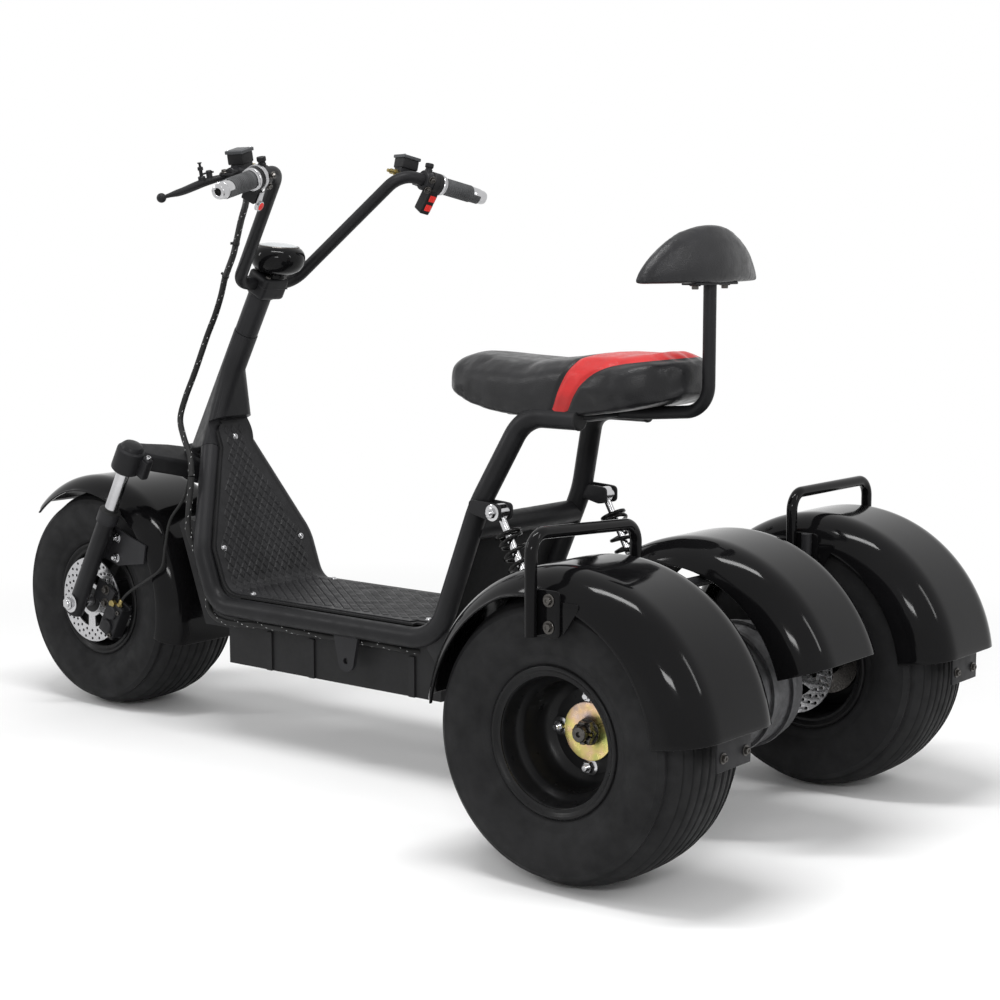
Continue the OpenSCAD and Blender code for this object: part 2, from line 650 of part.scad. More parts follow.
module rear_panel() color([0.07, 0.07, 0.07]) difference() {
  from_rear_axle() {
    low = rear_tube_at(312);
    high = rear_tube_at(rear_cross_z - rear_cross_d / 2 - seat_gap);
    lean = (high.x - low.x) / (high.z - low.z);
    translate([0, low.y + 2, 0]) over_y() linear_extrude(2 * low.y + 4)
      polygon([[low.x - 2, low.z], [low.x + 2, low.z], [high.x + 2, high.z - 2], [high.x - 2, high.z - 2]]);
  }
  tube_clearance();
  from_rear_axle() {
    mid = rear_tube_at(rear_cross_z);
    rod(rear_cross_d + 2 * fit, [mid.x, -mid.y, mid.z], [mid.x, mid.y, mid.z]);
  }
}
stand_x = 721;
stand_z = 204;
stand_hole_d = 12;
stand_t = 8;
module stand_bracket() color([0.1, 0.1, 0.1]) difference() {
  from_rear_axle() translate([0, tube_half - stand_t / 2, 0]) rotate([90, 0, 0]) mirror([0, 0, 1]) linear_extrude(stand_t) {
    translate([stand_x, stand_z]) circle(d = 40);
    polygon([[stand_x - 20, stand_z], [stand_x + 20, stand_z], [stand_x + 34, floor_z], [stand_x - 34, floor_z]]);
  }
  tube_clearance();
  from_rear_axle() translate([stand_x, 0, stand_z]) along_y() cylinder(d = stand_hole_d, h = 2 * tube_half);
}

// Rear axle and its suspension
casing_d = 208;
casing_half = 92;
cover_d = 176;
cover_half = 108;
axle_tube_d = 50;
axle_tube_out = 224;
arm_d = 40;
arm_half_front = 100;
arm_half_rear = 150;
sleeve_d = 44;
module drive_unit() color([0.7, 0.7, 0.7]) from_rear_axle() translate([0, 0, tyre_r]) along_y() {
  translate([0, 0, -casing_half]) cylinder(d = casing_d, h = 2 * casing_half);
  translate([0, 0, -cover_half]) cylinder(d = cover_d, h = 2 * cover_half);
  for (z = [-60, 0, 60]) translate([0, 0, z - 5]) cylinder(d = casing_d + 10, h = 10);
}
module axle_housing() color([0.12, 0.12, 0.12]) from_rear_axle() translate([0, 0, tyre_r]) both_sides() along_y() difference() {
  union() {
    translate([0, 0, cover_half]) cylinder(d = axle_tube_d, h = axle_tube_out - cover_half);
    translate([0, 0, cover_half]) cylinder(d = 2.4 * axle_tube_d, h = 10);
  }
  translate([0, 0, wheel_y + rear_shaft_in - 10]) cylinder(d = rear_shaft_d + 2 * run_gap, h = 200);
}
shock_low = shock_top - shock_l * [sin(shock_lean), 0, cos(shock_lean)];
function arm_y(x) = arm_half_front + (arm_half_rear - arm_half_front) * (pivot.x - x) / pivot.x;
module swing_arm() color([0.1, 0.1, 0.1]) from_rear_axle() difference() {
  union() {
    translate([pivot.x, -tube_half + lug_t / 2 + seat_gap, pivot.z]) along_y()
      cylinder(d = sleeve_d, h = 2 * tube_half - lug_t - 2 * seat_gap);
    translate([pivot.x, -tube_half - 14, pivot.z]) along_y() cylinder(d = pivot_pin_d, h = 2 * tube_half + 28);
    both_sides() {
      rod(arm_d, [pivot.x, arm_half_front, pivot.z], [0, arm_half_rear, tyre_r]);
      lug_y = shock_low.y - shock_eye_w / 2 - seat_gap - lug_t;
      translate([shock_low.x - 20, lug_y, pivot.z - 8]) cube([40, lug_t, shock_low.z - pivot.z + 26]);
      translate([shock_low.x, lug_y, shock_low.z]) along_y() cylinder(d = shock_pin_d, h = shock_eye_w + lug_t + 14);
    }
  }
  translate([0, 0, tyre_r]) along_y() translate([0, 0, -300]) cylinder(d = axle_tube_d + 2 * fit, h = 600);
}
eye_d = 28;
perch_h = 6;
spring_from = 44;
spring_to = 186;
module shock_frame() from_rear_axle() both_sides() translate(shock_low) rotate([0, shock_lean, 0]) children();
module shock_absorbers() color([0.75, 0.75, 0.76]) shock_frame() difference() {
  union() {
    for (z = [0, shock_l]) translate([0, -shock_eye_w / 2, z]) along_y() cylinder(d = eye_d, h = shock_eye_w);
    cylinder(d = 13, h = shock_l);
    translate([0, 0, 10]) cylinder(d = shock_eye_w - 1, h = spring_from - 10);
    translate([0, 0, spring_from - perch_h]) cylinder(d = spring_d, h = perch_h);
    translate([0, 0, spring_to]) cylinder(d = spring_d, h = perch_h);
  }
  for (z = [0, shock_l]) translate([0, -shock_eye_w, z]) along_y() cylinder(d = shock_pin_d + 2 * fit, h = 2 * shock_eye_w);
}
spring_turns = 6;
spring_steps = 16;
module shock_springs() color([0.05, 0.05, 0.05]) shock_frame() {
  r = (spring_d - wire_d) / 2;
  rise = spring_to - spring_from - wire_d - 2 * seat_gap;
  count = spring_turns * spring_steps;
  path = [for (k = [0 : count]) [
    r * cos(360 * k / spring_steps), r * sin(360 * k / spring_steps),
    spring_from + wire_d / 2 + seat_gap + rise * k / count
  ]];
  sweep(wire_d, path, 8, [0, 0, 1]);
}
module rear_calipers() color([0.1, 0.1, 0.1]) from_rear_axle() translate([0, wheel_y + rear_disc_y, tyre_r]) caliper_pair();
module caliper_pair() {
  pair_shift = 2 * (wheel_y + rear_disc_y);
  one_caliper();
  translate([0, -pair_shift, 0]) mirror([0, 1, 0]) one_caliper();
}
module one_caliper() difference() {
  union() {
    rotate([0, -40, 0]) translate([58, -14, -34]) cube([46, 34, 68]);
    rotate([0, -40, 0]) translate([axle_tube_d / 2 - 6, -14, -16]) cube([60, 8, 32]);
  }
  rotate([0, -40, 0]) translate([40, -pad_gap, -60]) cube([56, disc_t + 2 * pad_gap, 120]);
  along_y() translate([0, 0, -40]) cylinder(d = axle_tube_d + 2 * fit, h = 80);
}

// Fenders, what carries them, and the grab rails
fender_from = 8;
fender_to = 179;
skirt_cut_r = 222;
skirt_cut_x = 25;
centre_half = 115;
centre_from = 14;
centre_to = 165;
rail_x = 8;
tab_top = 440;
rail_out = fender_half + seat_gap + rail_d / 2;
bracket_low = 396;
bracket_high = 466;
rail_bend = 26;
module fender_side() translate([-fender_back, 0, tyre_r]) children();
module skirt_cut(half) translate([skirt_cut_x, -half - 1, tyre_r]) along_y() cylinder(r = skirt_cut_r, h = 2 * half + 2);
module fender_tab_side() translate([0, fender_half - fender_t, 0]) rotate([90, 0, 0]) mirror([0, 0, 1])
  linear_extrude(fender_t) polygon([[-72, tab_top], [-40, bracket_low + 4], [-2, bracket_low + 4], [16, tab_top]]);
module rear_fender() color([0.03, 0.03, 0.03]) from_rear_axle() translate([0, wheel_y, 0]) {
  difference() {
    fender_side() fender_shell(fender_in, fender_r, fender_half, fender_round, fender_from, fender_to);
    skirt_cut(fender_half);
  }
  both_sides() fender_tab_side();
}
module fender_left() rear_fender();
module fender_right() mirror([0, 1, 0]) rear_fender();
module fender_centre() color([0.03, 0.03, 0.03]) from_rear_axle() difference() {
  fender_side() fender_shell(fender_in, fender_r, centre_half, fender_round, centre_from, centre_to);
  skirt_cut(centre_half);
}
module grab_rail() color([0.04, 0.04, 0.04]) from_rear_axle() translate([0, wheel_y, 0]) {
  bent_tube(rail_d, [
    [rail_x, -rail_out, bracket_low], [rail_x, -rail_out, rail_z], [rail_x, rail_out, rail_z],
    [rail_x, rail_out, bracket_low]
  ], [rail_bend, rail_bend], [1, 0, 0], 16);
  both_sides() difference() {
    translate([rail_x - 44, fender_half + seat_gap, bracket_low]) cube([44, 4, bracket_high - bracket_low]);
    for (z = [bracket_low + 14, bracket_low + 54]) translate([rail_x - 22, 0, z]) along_y() cylinder(d = 8, h = 200);
  }
}
module grab_rail_left() grab_rail();
module grab_rail_right() mirror([0, 1, 0]) grab_rail();
stay_d = 18;
stay_x = -22;
stay_top_y = wheel_y - fender_half - 2 * seat_gap - 4 - stay_d / 2;
stay_low_y = 196;
stay_cross_z = 428;
stay_post_y = 44;
module fender_frame() color([0.1, 0.1, 0.1]) from_rear_axle() difference() {
  union() {
    both_sides() bent_tube(stay_d, [
      [stay_x, stay_top_y, bracket_high], [stay_x, stay_top_y, 372],
      [stay_x, stay_low_y, 334], [stay_x, stay_low_y, tyre_r]
    ], [24, 24], [1, 0, 0], 16, 4);
    rod(stay_d, [stay_x, -stay_top_y, stay_cross_z], [stay_x, stay_top_y, stay_cross_z]);
    both_sides() rod(stay_d, [stay_x, stay_post_y, stay_cross_z], [stay_x, stay_post_y, tyre_r + fender_r]);
  }
  translate([0, 0, tyre_r]) along_y() translate([0, 0, -300]) cylinder(d = axle_tube_d + 2 * fit, h = 600);
  translate([-fender_back, -200, tyre_r]) along_y() difference() {
    cylinder(r = fender_r + 60, h = 400);
    translate([0, 0, -1]) cylinder(r = fender_r - fender_t - seat_gap, h = 402);
  }
}
plate_x = -258;
plate_w = 90;
plate_low = 216;
plate_t = 4;
plate_hole_d = 6.5;
plate_hole_gap = 60;
module lamp_bracket() from_rear_axle() translate([plate_x, wheel_y, 0]) difference() {
  union() {
    translate([-plate_t, -plate_w / 2, plate_low]) cube([plate_t, plate_w, 76]);
    translate([-60, -plate_w / 2, plate_low + 72]) cube([60, plate_w, plate_t]);
  }
  for (s = [-1, 1]) translate([-plate_t - 1, s * plate_hole_gap / 2, plate_low + 20]) rotate([0, 90, 0])
    cylinder(d = plate_hole_d, h = plate_t + 2);
  translate([-fender_back - plate_x, -200, tyre_r]) along_y() difference() {
    cylinder(r = fender_r + 90, h = 400);
    translate([0, 0, -1]) cylinder(r = fender_r - fender_t - seat_gap, h = 402);
  }
}
module lamp_brackets() color([0.1, 0.1, 0.1]) both_sides() lamp_bracket();

// Seat: stations along X, each with its half width, lower height and upper height
seat_rear = 47;
pan_half = seat_tube_half + 6;
seat_base = seat_tube_z + tube_r + seat_gap;
seat_low = seat_base + pan_t + seat_gap;
seat_round = 24;
pan_from = 200;
pan_to = 420;
AT = 0;
HALF = 1;
BASE = 2;
TOP = 3;
stations = [
  // share of the length, half width, base rise, top rise
  [0, 106, 24, 18],
  [0.26, 126, 2, 11],
  [0.5, 122, 0, -4],
  [0.78, 104, 0, 0],
  [1, 70, 24, -2]
];
module seat_station(s) {
  x = seat_rear + seat_round + s[AT] * (seat_l - 2 * seat_round);
  low = seat_low + s[BASE];
  top = seat_low + seat_h - pan_t + s[TOP];
  for (m = [-1, 1]) translate([x, m * (s[HALF] - seat_round), 0]) {
    translate([0, 0, top - seat_round]) sphere(seat_round, $fn = FACETS);
    translate([0, 0, low]) cylinder(r = seat_round, h = seat_round / 4, $fn = FACETS);
  }
}
module seat_cushion() color([0.08, 0.08, 0.08]) from_rear_axle()
  for (i = [0 : len(stations) - 2]) hull() {
    seat_station(stations[i]);
    seat_station(stations[i + 1]);
  }
module seat_pan() color([0.06, 0.06, 0.06]) from_rear_axle()
  translate([pan_from, -pan_half, seat_base]) cube([pan_to - pan_from, 2 * pan_half, pan_t]);
post_x = 30;
post_front = seat_cross_x - cross_d / 2 - fit;
module backrest_post() color([0.09, 0.09, 0.09]) from_rear_axle() {
  bent_tube(post_d, [
    [post_x, 0, back_z - 10], [post_x, 0, seat_tube_z + 30], [175, 0, seat_tube_z + 7], [post_front, 0, seat_tube_z + 7]
  ], [40, 60], [0, 1, 0], 16);
  translate([post_x - 22, -64, back_z - 10 - fit]) cube([44, 128, 4]);
}
back_t = 66;
back_h = 96;
back_round = 26;
module backrest_pad() color([0.15, 0.15, 0.15]) from_rear_axle() hull() {
  z = back_z - 6 + seat_gap;
  for (m = [-1, 1]) {
    translate([post_x + 14, m * (back_w / 2 - back_round), z]) cylinder(r = back_round, h = 20, $fn = FACETS);
    translate([post_x + 14, m * (back_w / 2 - 60), z + back_h - 56]) sphere(back_round, $fn = FACETS);
    translate([post_x + 8, m * 40, z + back_h - back_round]) sphere(back_round, $fn = FACETS);
    translate([post_x, m * 40, z]) cylinder(r = back_t / 2, h = 20, $fn = FACETS);
  }
}

// Cables: the loom crosses the steering axis square to it, so its two halves slide past each other.
// The lower half runs from the neck down the left frame tube and back under the floor to the battery.
loom_d = 12;
hose_d = 6;
loom_cut = 560;
loom_upper_route = [
  [-116.3, 231.6, 1000.9], [-113, 228, 975], [-92, 206, 946], [-52, 172, 905], [-22, 132, 840], [6, 98, 765],
  [36, 64, 685], [48, 50, 630], [50, 46, loom_cut]
];
loom_neck = [
  [50, 46, loom_cut - seat_gap], [50, 46, 530], [44, 53, 488], [26, 66, 452], [-15, 82, 434], [-58, 95, 420],
  [-98, 115, 398]
];
loom_floor = [
  [1150, 152, 410], [1124, 164, 350], [1102, 166, 296], [1072, 158, 256], [1030, 146, 240], [938, 138, 243],
  [840, 134, 242], [790, 124, 240], [640, 122, 240], [600, 118, 238], [572, 104, 236]
];
function steer_point(p) = [
  wheelbase + (p.x - fork_offset) * cos(rake) - p.z * sin(rake), p.y,
  tyre_r + (p.x - fork_offset) * sin(rake) + p.z * cos(rake)
];
function loom_lower_route() = concat([for (p = loom_neck) steer_point(p)], loom_floor);
module loom_upper() color([0.08, 0.08, 0.08]) steering_frame() cable(loom_d, loom_upper_route, [1, 0, 0]);
module loom_lower() color([0.08, 0.08, 0.08]) difference() {
  from_rear_axle() cable(loom_d, loom_lower_route(), [0, 1, 0]);
  battery_box();
}
hose_route = [
  [53, 59, 660], [60, 62, 618], [74, 70, 565], [72, 92, 505], [58, 108, 455], [34, 114, 422], [12, 113, 402],
  [-8, 111, 382], [-18, 114, 352], [-24, 120, 310], [-28, 126, 262], [-36, 130, 215], [-58, 131, 170],
  [-66, 130, 130], [-56, 125, 90], [-44, 120, 64], [-40, 119.6, 48.3]
];
module brake_hose() color([0.06, 0.06, 0.06]) steering_frame() cable(hose_d, hose_route, [0, 1, 0]);

head_tube();
frame_tube_left();
frame_tube_right();
frame_cross_tubes();
footboard();
battery_box();
controller_box();
rear_panel();
stand_bracket();
swing_arm();
axle_housing();
drive_unit();
shock_absorbers();
shock_springs();
rear_calipers();
fender_frame();
fender_left();
fender_right();
fender_centre();
grab_rail_left();
grab_rail_right();
lamp_brackets();
seat_pan();
seat_cushion();
backrest_post();
backrest_pad();
loom_lower();
steering_stem();
fork_crown();
fork_stanchions();
fork_legs();
front_axle();
front_fender();
front_caliper();
bar_clamp();
handlebar();
instrument();
grips();
grip_ends();
brake_levers();
fluid_reservoirs();
switch_pods();
loom_upper();
brake_hose();
front_tyre();
front_rim();
front_hub_node();  // front_hub
front_disc();
rear_wheel_place(1) tyre();  // rear_left_tyre
rear_wheel_place(1) rim(rear_shaft_d);  // rear_left_rim
rear_wheel_place(1) rear_hub();  // rear_left_hub
rear_wheel_place(1) rear_disc();  // rear_left_disc
rear_wheel_place(-1) tyre();  // rear_right_tyre
rear_wheel_place(-1) rim(rear_shaft_d);  // rear_right_rim
rear_wheel_place(-1) rear_hub();  // rear_right_hub
rear_wheel_place(-1) rear_disc();  // rear_right_disc
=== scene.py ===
import json
import math

import bmesh
import bpy
from mathutils import Matrix, Vector


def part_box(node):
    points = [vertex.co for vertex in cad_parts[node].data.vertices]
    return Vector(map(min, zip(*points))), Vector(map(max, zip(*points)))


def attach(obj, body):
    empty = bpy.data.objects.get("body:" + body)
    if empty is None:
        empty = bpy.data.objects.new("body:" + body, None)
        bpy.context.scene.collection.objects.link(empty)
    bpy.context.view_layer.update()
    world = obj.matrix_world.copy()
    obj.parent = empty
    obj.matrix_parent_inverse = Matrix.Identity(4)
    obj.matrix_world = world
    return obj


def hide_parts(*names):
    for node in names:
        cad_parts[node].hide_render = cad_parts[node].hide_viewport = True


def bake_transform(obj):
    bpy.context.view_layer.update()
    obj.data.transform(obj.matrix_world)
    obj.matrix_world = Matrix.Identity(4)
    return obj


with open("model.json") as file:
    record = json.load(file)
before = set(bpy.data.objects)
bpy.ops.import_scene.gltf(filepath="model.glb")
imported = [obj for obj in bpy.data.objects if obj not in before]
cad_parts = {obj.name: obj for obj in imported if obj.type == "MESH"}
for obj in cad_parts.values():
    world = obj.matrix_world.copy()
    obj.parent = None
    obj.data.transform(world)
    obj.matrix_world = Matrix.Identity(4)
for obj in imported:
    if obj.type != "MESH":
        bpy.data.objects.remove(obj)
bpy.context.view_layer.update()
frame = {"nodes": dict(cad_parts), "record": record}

# Shared places, from the frame
MM = 0.001
SIDES = (("left", 1), ("right", -1))


def mm(*points):
    """The points, given in millimetres, in metres."""
    return [tuple(c * MM for c in point) for point in points]


def shift(x, y, z):
    return Matrix.Translation((x * MM, y * MM, z * MM))


def node_centre(node):
    low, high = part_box(node)
    return (Vector(low) + Vector(high)) / 2


FRONT_AXLE = node_centre("front_tyre")
REAR_AXLE = node_centre("rear_left_tyre")
TYRE_R = FRONT_AXLE.z
TYRE_HALF = (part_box("front_tyre")[1][1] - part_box("front_tyre")[0][1]) / 2
WHEEL_Y = REAR_AXLE.y
RAKE = math.radians(28.5)
FORK_OFFSET = 48 * MM
STEER_N = Vector((math.cos(RAKE), 0, math.sin(RAKE)))
STEER_A = Vector((-math.sin(RAKE), 0, math.cos(RAKE)))
STEER_P = FRONT_AXLE - FORK_OFFSET * STEER_N


def at(x, y, z):
    """Point in millimetres, X counted from the rear axle."""
    return Vector((REAR_AXLE.x + x * MM, y * MM, z * MM))


def steer(x, y, z):
    """Point in millimetres in the steering frame: X forward of the axis, Z along it."""
    return STEER_P + x * MM * STEER_N + Vector((0, y * MM, 0)) + z * MM * STEER_A


def axes(origin, x_axis, z_axis):
    """Frame at origin with Z along z_axis and X as near x_axis as it can be."""
    z = Vector(z_axis).normalized()
    y = z.cross(Vector(x_axis)).normalized()
    x = y.cross(z)
    matrix = Matrix((x, y, z)).transposed().to_4x4()
    matrix.translation = origin
    return matrix


# Materials
def linear(*rgb):
    return (*rgb, 1.0)


def feed(tree, socket, value):
    """Links an output to the socket, or sets the socket to a constant."""
    if isinstance(value, bpy.types.NodeSocket):
        tree.links.new(value, socket)
    else:
        socket.default_value = value


def math_node(tree, kind, *values):
    made = tree.nodes.new("ShaderNodeMath")
    made.operation = kind
    for socket, value in zip(made.inputs, values):
        feed(tree, socket, value)
    return made.outputs[0]


class Surface:
    """A procedural material: colour mottling, roughness variation and a fine bump."""

    def __init__(self, name, color, rough, metal=0.0, specular=0.5):
        self.material = bpy.data.materials.new(name)
        self.material.use_nodes = True
        self.tree = self.material.node_tree
        self.nodes = self.tree.nodes
        self.shader = self.nodes["Principled BSDF"]
        self.shader.inputs["Metallic"].default_value = metal
        self.shader.inputs["Specular IOR Level"].default_value = specular
        self.place = self.nodes.new("ShaderNodeTexCoord").outputs["Object"]
        self.color = color
        self.rough = rough
        self.normal = None

    def link(self, a, b):
        self.tree.links.new(a, b)

    def node(self, kind, **inputs):
        made = self.nodes.new(kind)
        for key, value in inputs.items():
            feed(self.tree, made.inputs[key.replace("_", " ")], value)
        return made

    def noise(self, scale, detail=4.0, rough=0.55, stretch=None):
        place = self.place
        if stretch:
            place = self.node("ShaderNodeMapping", Vector=place, Scale=stretch).outputs["Vector"]
        return self.node("ShaderNodeTexNoise", Vector=place, Scale=scale, Detail=detail, Roughness=rough).outputs["Fac"]

    def ramp(self, value, low, high, from_low=0.35, from_high=0.65):
        limits = dict(From_Min=from_low, From_Max=from_high, To_Min=low, To_Max=high)
        return self.node("ShaderNodeMapRange", Value=value, **limits).outputs["Result"]

    def mix(self, factor, a, b):
        made = self.nodes.new("ShaderNodeMix")
        made.data_type = "RGBA"
        for socket, value in ((0, factor), (6, a), (7, b)):
            feed(self.tree, made.inputs[socket], value)
        return made.outputs[2]

    def mottle(self, scale, amount, color=None):
        """Colour that drifts either side of the base colour."""
        base = color or self.color
        dark = linear(*(c * (1 - amount) for c in base))
        light = linear(*(c * (1 + amount) for c in base))
        return self.mix(self.ramp(self.noise(scale), 0, 1), dark, light)

    def paint(self, color):
        self.link(color, self.shader.inputs["Base Color"])
        return self

    def vary_rough(self, scale, amount):
        low, high = self.rough - amount, self.rough + amount
        self.link(self.ramp(self.noise(scale, 6), low, high), self.shader.inputs["Roughness"])
        return self

    def bump(self, height, strength, distance):
        made = self.node("ShaderNodeBump", Height=height, Strength=strength, Distance=distance)
        if self.normal:
            self.link(self.normal, made.inputs["Normal"])
        self.normal = made.outputs["Normal"]
        self.link(self.normal, self.shader.inputs["Normal"])
        return self

    def edge_wear(self, color, worn, amount=0.5):
        """The paint goes lighter where an edge is rubbed."""
        edge = self.node("ShaderNodeNewGeometry").outputs["Pointiness"]
        rubbed = self.ramp(edge, 0, amount, 0.52, 0.6)
        return self.mix(rubbed, color, linear(*worn))


def powder_coat(name, color, rough=0.42):
    s = Surface(name, color, rough, specular=0.15)
    s.paint(s.edge_wear(s.mottle(9, 0.18), [c * 2.2 + 0.004 for c in color]))
    s.vary_rough(60, 0.07)
    return s.bump(s.noise(900, 3), 0.12, 0.0004).material


def gloss_shell(name, color):
    s = Surface(name, color, 0.09, specular=0.12)
    s.paint(s.mottle(5, 0.2))
    s.vary_rough(30, 0.025)
    return s.bump(s.noise(14, 2), 0.03, 0.003).material


def moulded(name, color, rough=0.5):
    s = Surface(name, color, rough, specular=0.15)
    s.paint(s.edge_wear(s.mottle(14, 0.2), [c * 2 + 0.004 for c in color], 0.35))
    s.vary_rough(120, 0.06)
    grain = s.node("ShaderNodeTexVoronoi", Vector=s.place, Scale=1100.0).outputs["Distance"]
    return s.bump(grain, 0.16, 0.0003).material


def rubber_skin(name, color, rough=0.68):
    s = Surface(name, color, rough, specular=0.16)
    dusty = s.mix(s.ramp(s.noise(7, 6), 0, 0.5), s.mottle(40, 0.25), linear(*(c * 1.7 + 0.003 for c in color)))
    s.paint(dusty)
    s.vary_rough(35, 0.1)
    return s.bump(s.noise(1400, 4), 0.18, 0.0005).material


def bright_metal(name, color, rough, stretch=(1, 1, 1), scale=260):
    s = Surface(name, color, rough, metal=1.0)
    s.paint(s.mottle(22, 0.08))
    lines = s.noise(scale, 5, stretch=stretch)
    s.link(s.ramp(lines, rough * 0.6, rough * 1.5), s.shader.inputs["Roughness"])
    return s.bump(lines, 0.05, 0.0003).material


def cast_metal(name, color, rough=0.46):
    s = Surface(name, color, rough, metal=0.9)
    s.paint(s.mix(s.ramp(s.noise(16, 7), 0, 0.6), s.mottle(60, 0.16), linear(*(c * 0.45 for c in color))))
    s.vary_rough(80, 0.12)
    return s.bump(s.noise(420, 5), 0.35, 0.0008).material


def zinc_plate(name):
    """Yellow zinc: gold that drifts to pink and green."""
    s = Surface(name, (0.62, 0.52, 0.2), 0.3, metal=1.0)
    drift = s.noise(26, 3)
    ramp = s.nodes.new("ShaderNodeValToRGB")
    stops = ((0.3, (0.45, 0.52, 0.16)), (0.45, (0.66, 0.56, 0.2)), (0.56, (0.72, 0.5, 0.3)), (0.7, (0.52, 0.42, 0.42)))
    marks = ramp.color_ramp.elements
    for mark, (place, color) in zip(marks, (stops[0], stops[-1])):
        mark.position, mark.color = place, linear(*color)
    for place, color in stops[1:-1]:
        marks.new(place).color = linear(*color)
    s.link(drift, ramp.inputs["Fac"])
    s.paint(ramp.outputs["Color"])
    s.vary_rough(90, 0.08)
    return s.bump(s.noise(500, 3), 0.08, 0.0003).material


def leather(name, color, rough=0.4, accent=None, mask=None):
    """Grained leather; with an accent colour, mask builds the factor that shows it."""
    s = Surface(name, color, rough, specular=0.26)
    tone = s.mottle(18, 0.22)
    if accent:
        tone = s.mix(mask(s), tone, s.mottle(24, 0.12, accent))
    s.paint(tone)
    s.vary_rough(55, 0.08)
    grain = s.node("ShaderNodeTexVoronoi", Vector=s.place, Scale=520.0).outputs["Distance"]
    s.bump(grain, 0.28, 0.0008)
    return s.bump(s.noise(60, 5), 0.07, 0.0016).material


# Mesh building
def grid_faces(rows, columns, wrap=False):
    """Quads of a grid of points listed row by row; wrap joins the last column to the first."""
    quads = []
    for i in range(rows - 1):
        for j in range(columns if wrap else columns - 1):
            a, b = i * columns + j, i * columns + (j + 1) % columns
            quads.append([a, b, b + columns, a + columns])
    return quads


def shade_smooth(data):
    data.polygons.foreach_set("use_smooth", [True] * len(data.polygons))


class Mesh:
    """Collects shapes and then becomes one piece."""

    def __init__(self):
        self.verts = []
        self.faces = []

    def add(self, verts, faces, place=None):
        start = len(self.verts)
        self.verts += [place @ Vector(v) if place else Vector(v) for v in verts]
        self.faces += [[start + i for i in face] for face in faces]
        return self

    def lathe(self, profile, place, segments=64, closed=False):
        """Turns (radius, height) points round the Z axis of place."""
        count = len(profile)
        verts = [
            (r * math.cos(2 * math.pi * k / segments), r * math.sin(2 * math.pi * k / segments), h)
            for k in range(segments) for r, h in profile
        ]
        faces = []
        for k in range(segments):
            a, b = k * count, (k + 1) % segments * count
            for i in range(count if closed else count - 1):
                j = (i + 1) % count
                faces.append([a + i, b + i, b + j, a + j])
        if not closed:
            faces.append([k * count for k in range(segments)][::-1])
            faces.append([k * count + count - 1 for k in range(segments)])
        return self.add(verts, faces, place)

    def tube(self, path, radius, sides=20, up=(0, 1, 0)):
        """Sweeps a round section, whose radius may vary, along path."""
        radii = radius if isinstance(radius, (list, tuple)) else [radius] * len(path)
        verts, side = [], None
        for i, point in enumerate(path):
            along = (path[min(i + 1, len(path) - 1)] - path[max(i - 1, 0)]).normalized()
            side = (side if side else Vector(up).cross(along))
            side = (side - side.dot(along) * along).normalized()
            other = along.cross(side)
            for k in range(sides):
                turn = 2 * math.pi * k / sides
                verts.append(point + radii[i] * (math.cos(turn) * side + math.sin(turn) * other))
        last = (len(path) - 1) * sides
        faces = grid_faces(len(path), sides, True)
        faces += [list(range(sides))[::-1], [last + k for k in range(sides)]]
        return self.add(verts, faces)

    def take(self, made, place):
        """Adds what a bmesh holds and frees it."""
        made.verts.index_update()
        self.add([v.co.copy() for v in made.verts], [[v.index for v in f.verts] for f in made.faces], place)
        made.free()
        return self

    def block(self, size, place, bevel, segments=3):
        """Box with rounded edges, centred on place, sizes in millimetres."""
        made = bmesh.new()
        bmesh.ops.create_cube(made, size=1.0)
        bmesh.ops.scale(made, vec=mm(size)[0], verts=made.verts)
        bmesh.ops.bevel(made, geom=list(made.edges), offset=bevel * MM, segments=segments, profile=0.6, affect="EDGES")
        return self.take(made, place)

    def plate(self, outline, thick, place, bevel=0.8, segments=2):
        """Flat plate: an outline in XY, thick along Z, with its rims rounded, sizes in millimetres."""
        made = bmesh.new()
        base = made.faces.new([made.verts.new((x, y, 0)) for x, y in mm(*outline)])
        top = bmesh.ops.extrude_face_region(made, geom=[base])["geom"]
        bmesh.ops.translate(made, vec=(0, 0, thick * MM), verts=[g for g in top if isinstance(g, bmesh.types.BMVert)])
        bmesh.ops.recalc_face_normals(made, faces=made.faces)
        rims = [e for e in made.edges if abs(e.verts[0].co.z - e.verts[1].co.z) < thick * MM / 2]
        bmesh.ops.bevel(made, geom=rims, offset=bevel * MM, segments=segments, profile=0.5, affect="EDGES")
        return self.take(made, place)

    def hex_head(self, place, across, height):
        """Hexagon with chamfered corners and a washer under it, sizes in millimetres."""
        w, r = across, across / math.sqrt(3)
        self.lathe(mm((0, 0), (w * 0.82, 0), (w * 0.84, 0.4), (w * 0.84, 1.4), (w * 0.8, 1.8), (0, 1.8)), place, 28)
        rings = [(r, 1.8), (r, height - 1.2), (r * 0.9, height), (r * 0.45, height), (r * 0.42, height - 1),
                 (0, height - 1)]
        return self.lathe(mm(*rings), place, 6)

    def made(self, name, material, sharp=32.0):
        """The mesh as an object of its own, tied to no body yet."""
        data = bpy.data.meshes.new(name)
        data.from_pydata([tuple(v) for v in self.verts], [], self.faces)
        data.validate()
        clean = bmesh.new()
        clean.from_mesh(data)
        bmesh.ops.remove_doubles(clean, verts=clean.verts, dist=1e-6)
        bmesh.ops.recalc_face_normals(clean, faces=clean.faces)
        clean.to_mesh(data)
        clean.free()
        shade_smooth(data)
        data.set_sharp_from_angle(angle=math.radians(sharp))
        obj = bpy.data.objects.new(name, data)
        bpy.context.scene.collection.objects.link(obj)
        for one in material if isinstance(material, (list, tuple)) else [material]:
            data.materials.append(one)
        return obj

    def piece(self, name, material, body, slot, replaces=(), sharp=32.0):
        return finish_piece(self.made(name, material, sharp), None, body, replaces)


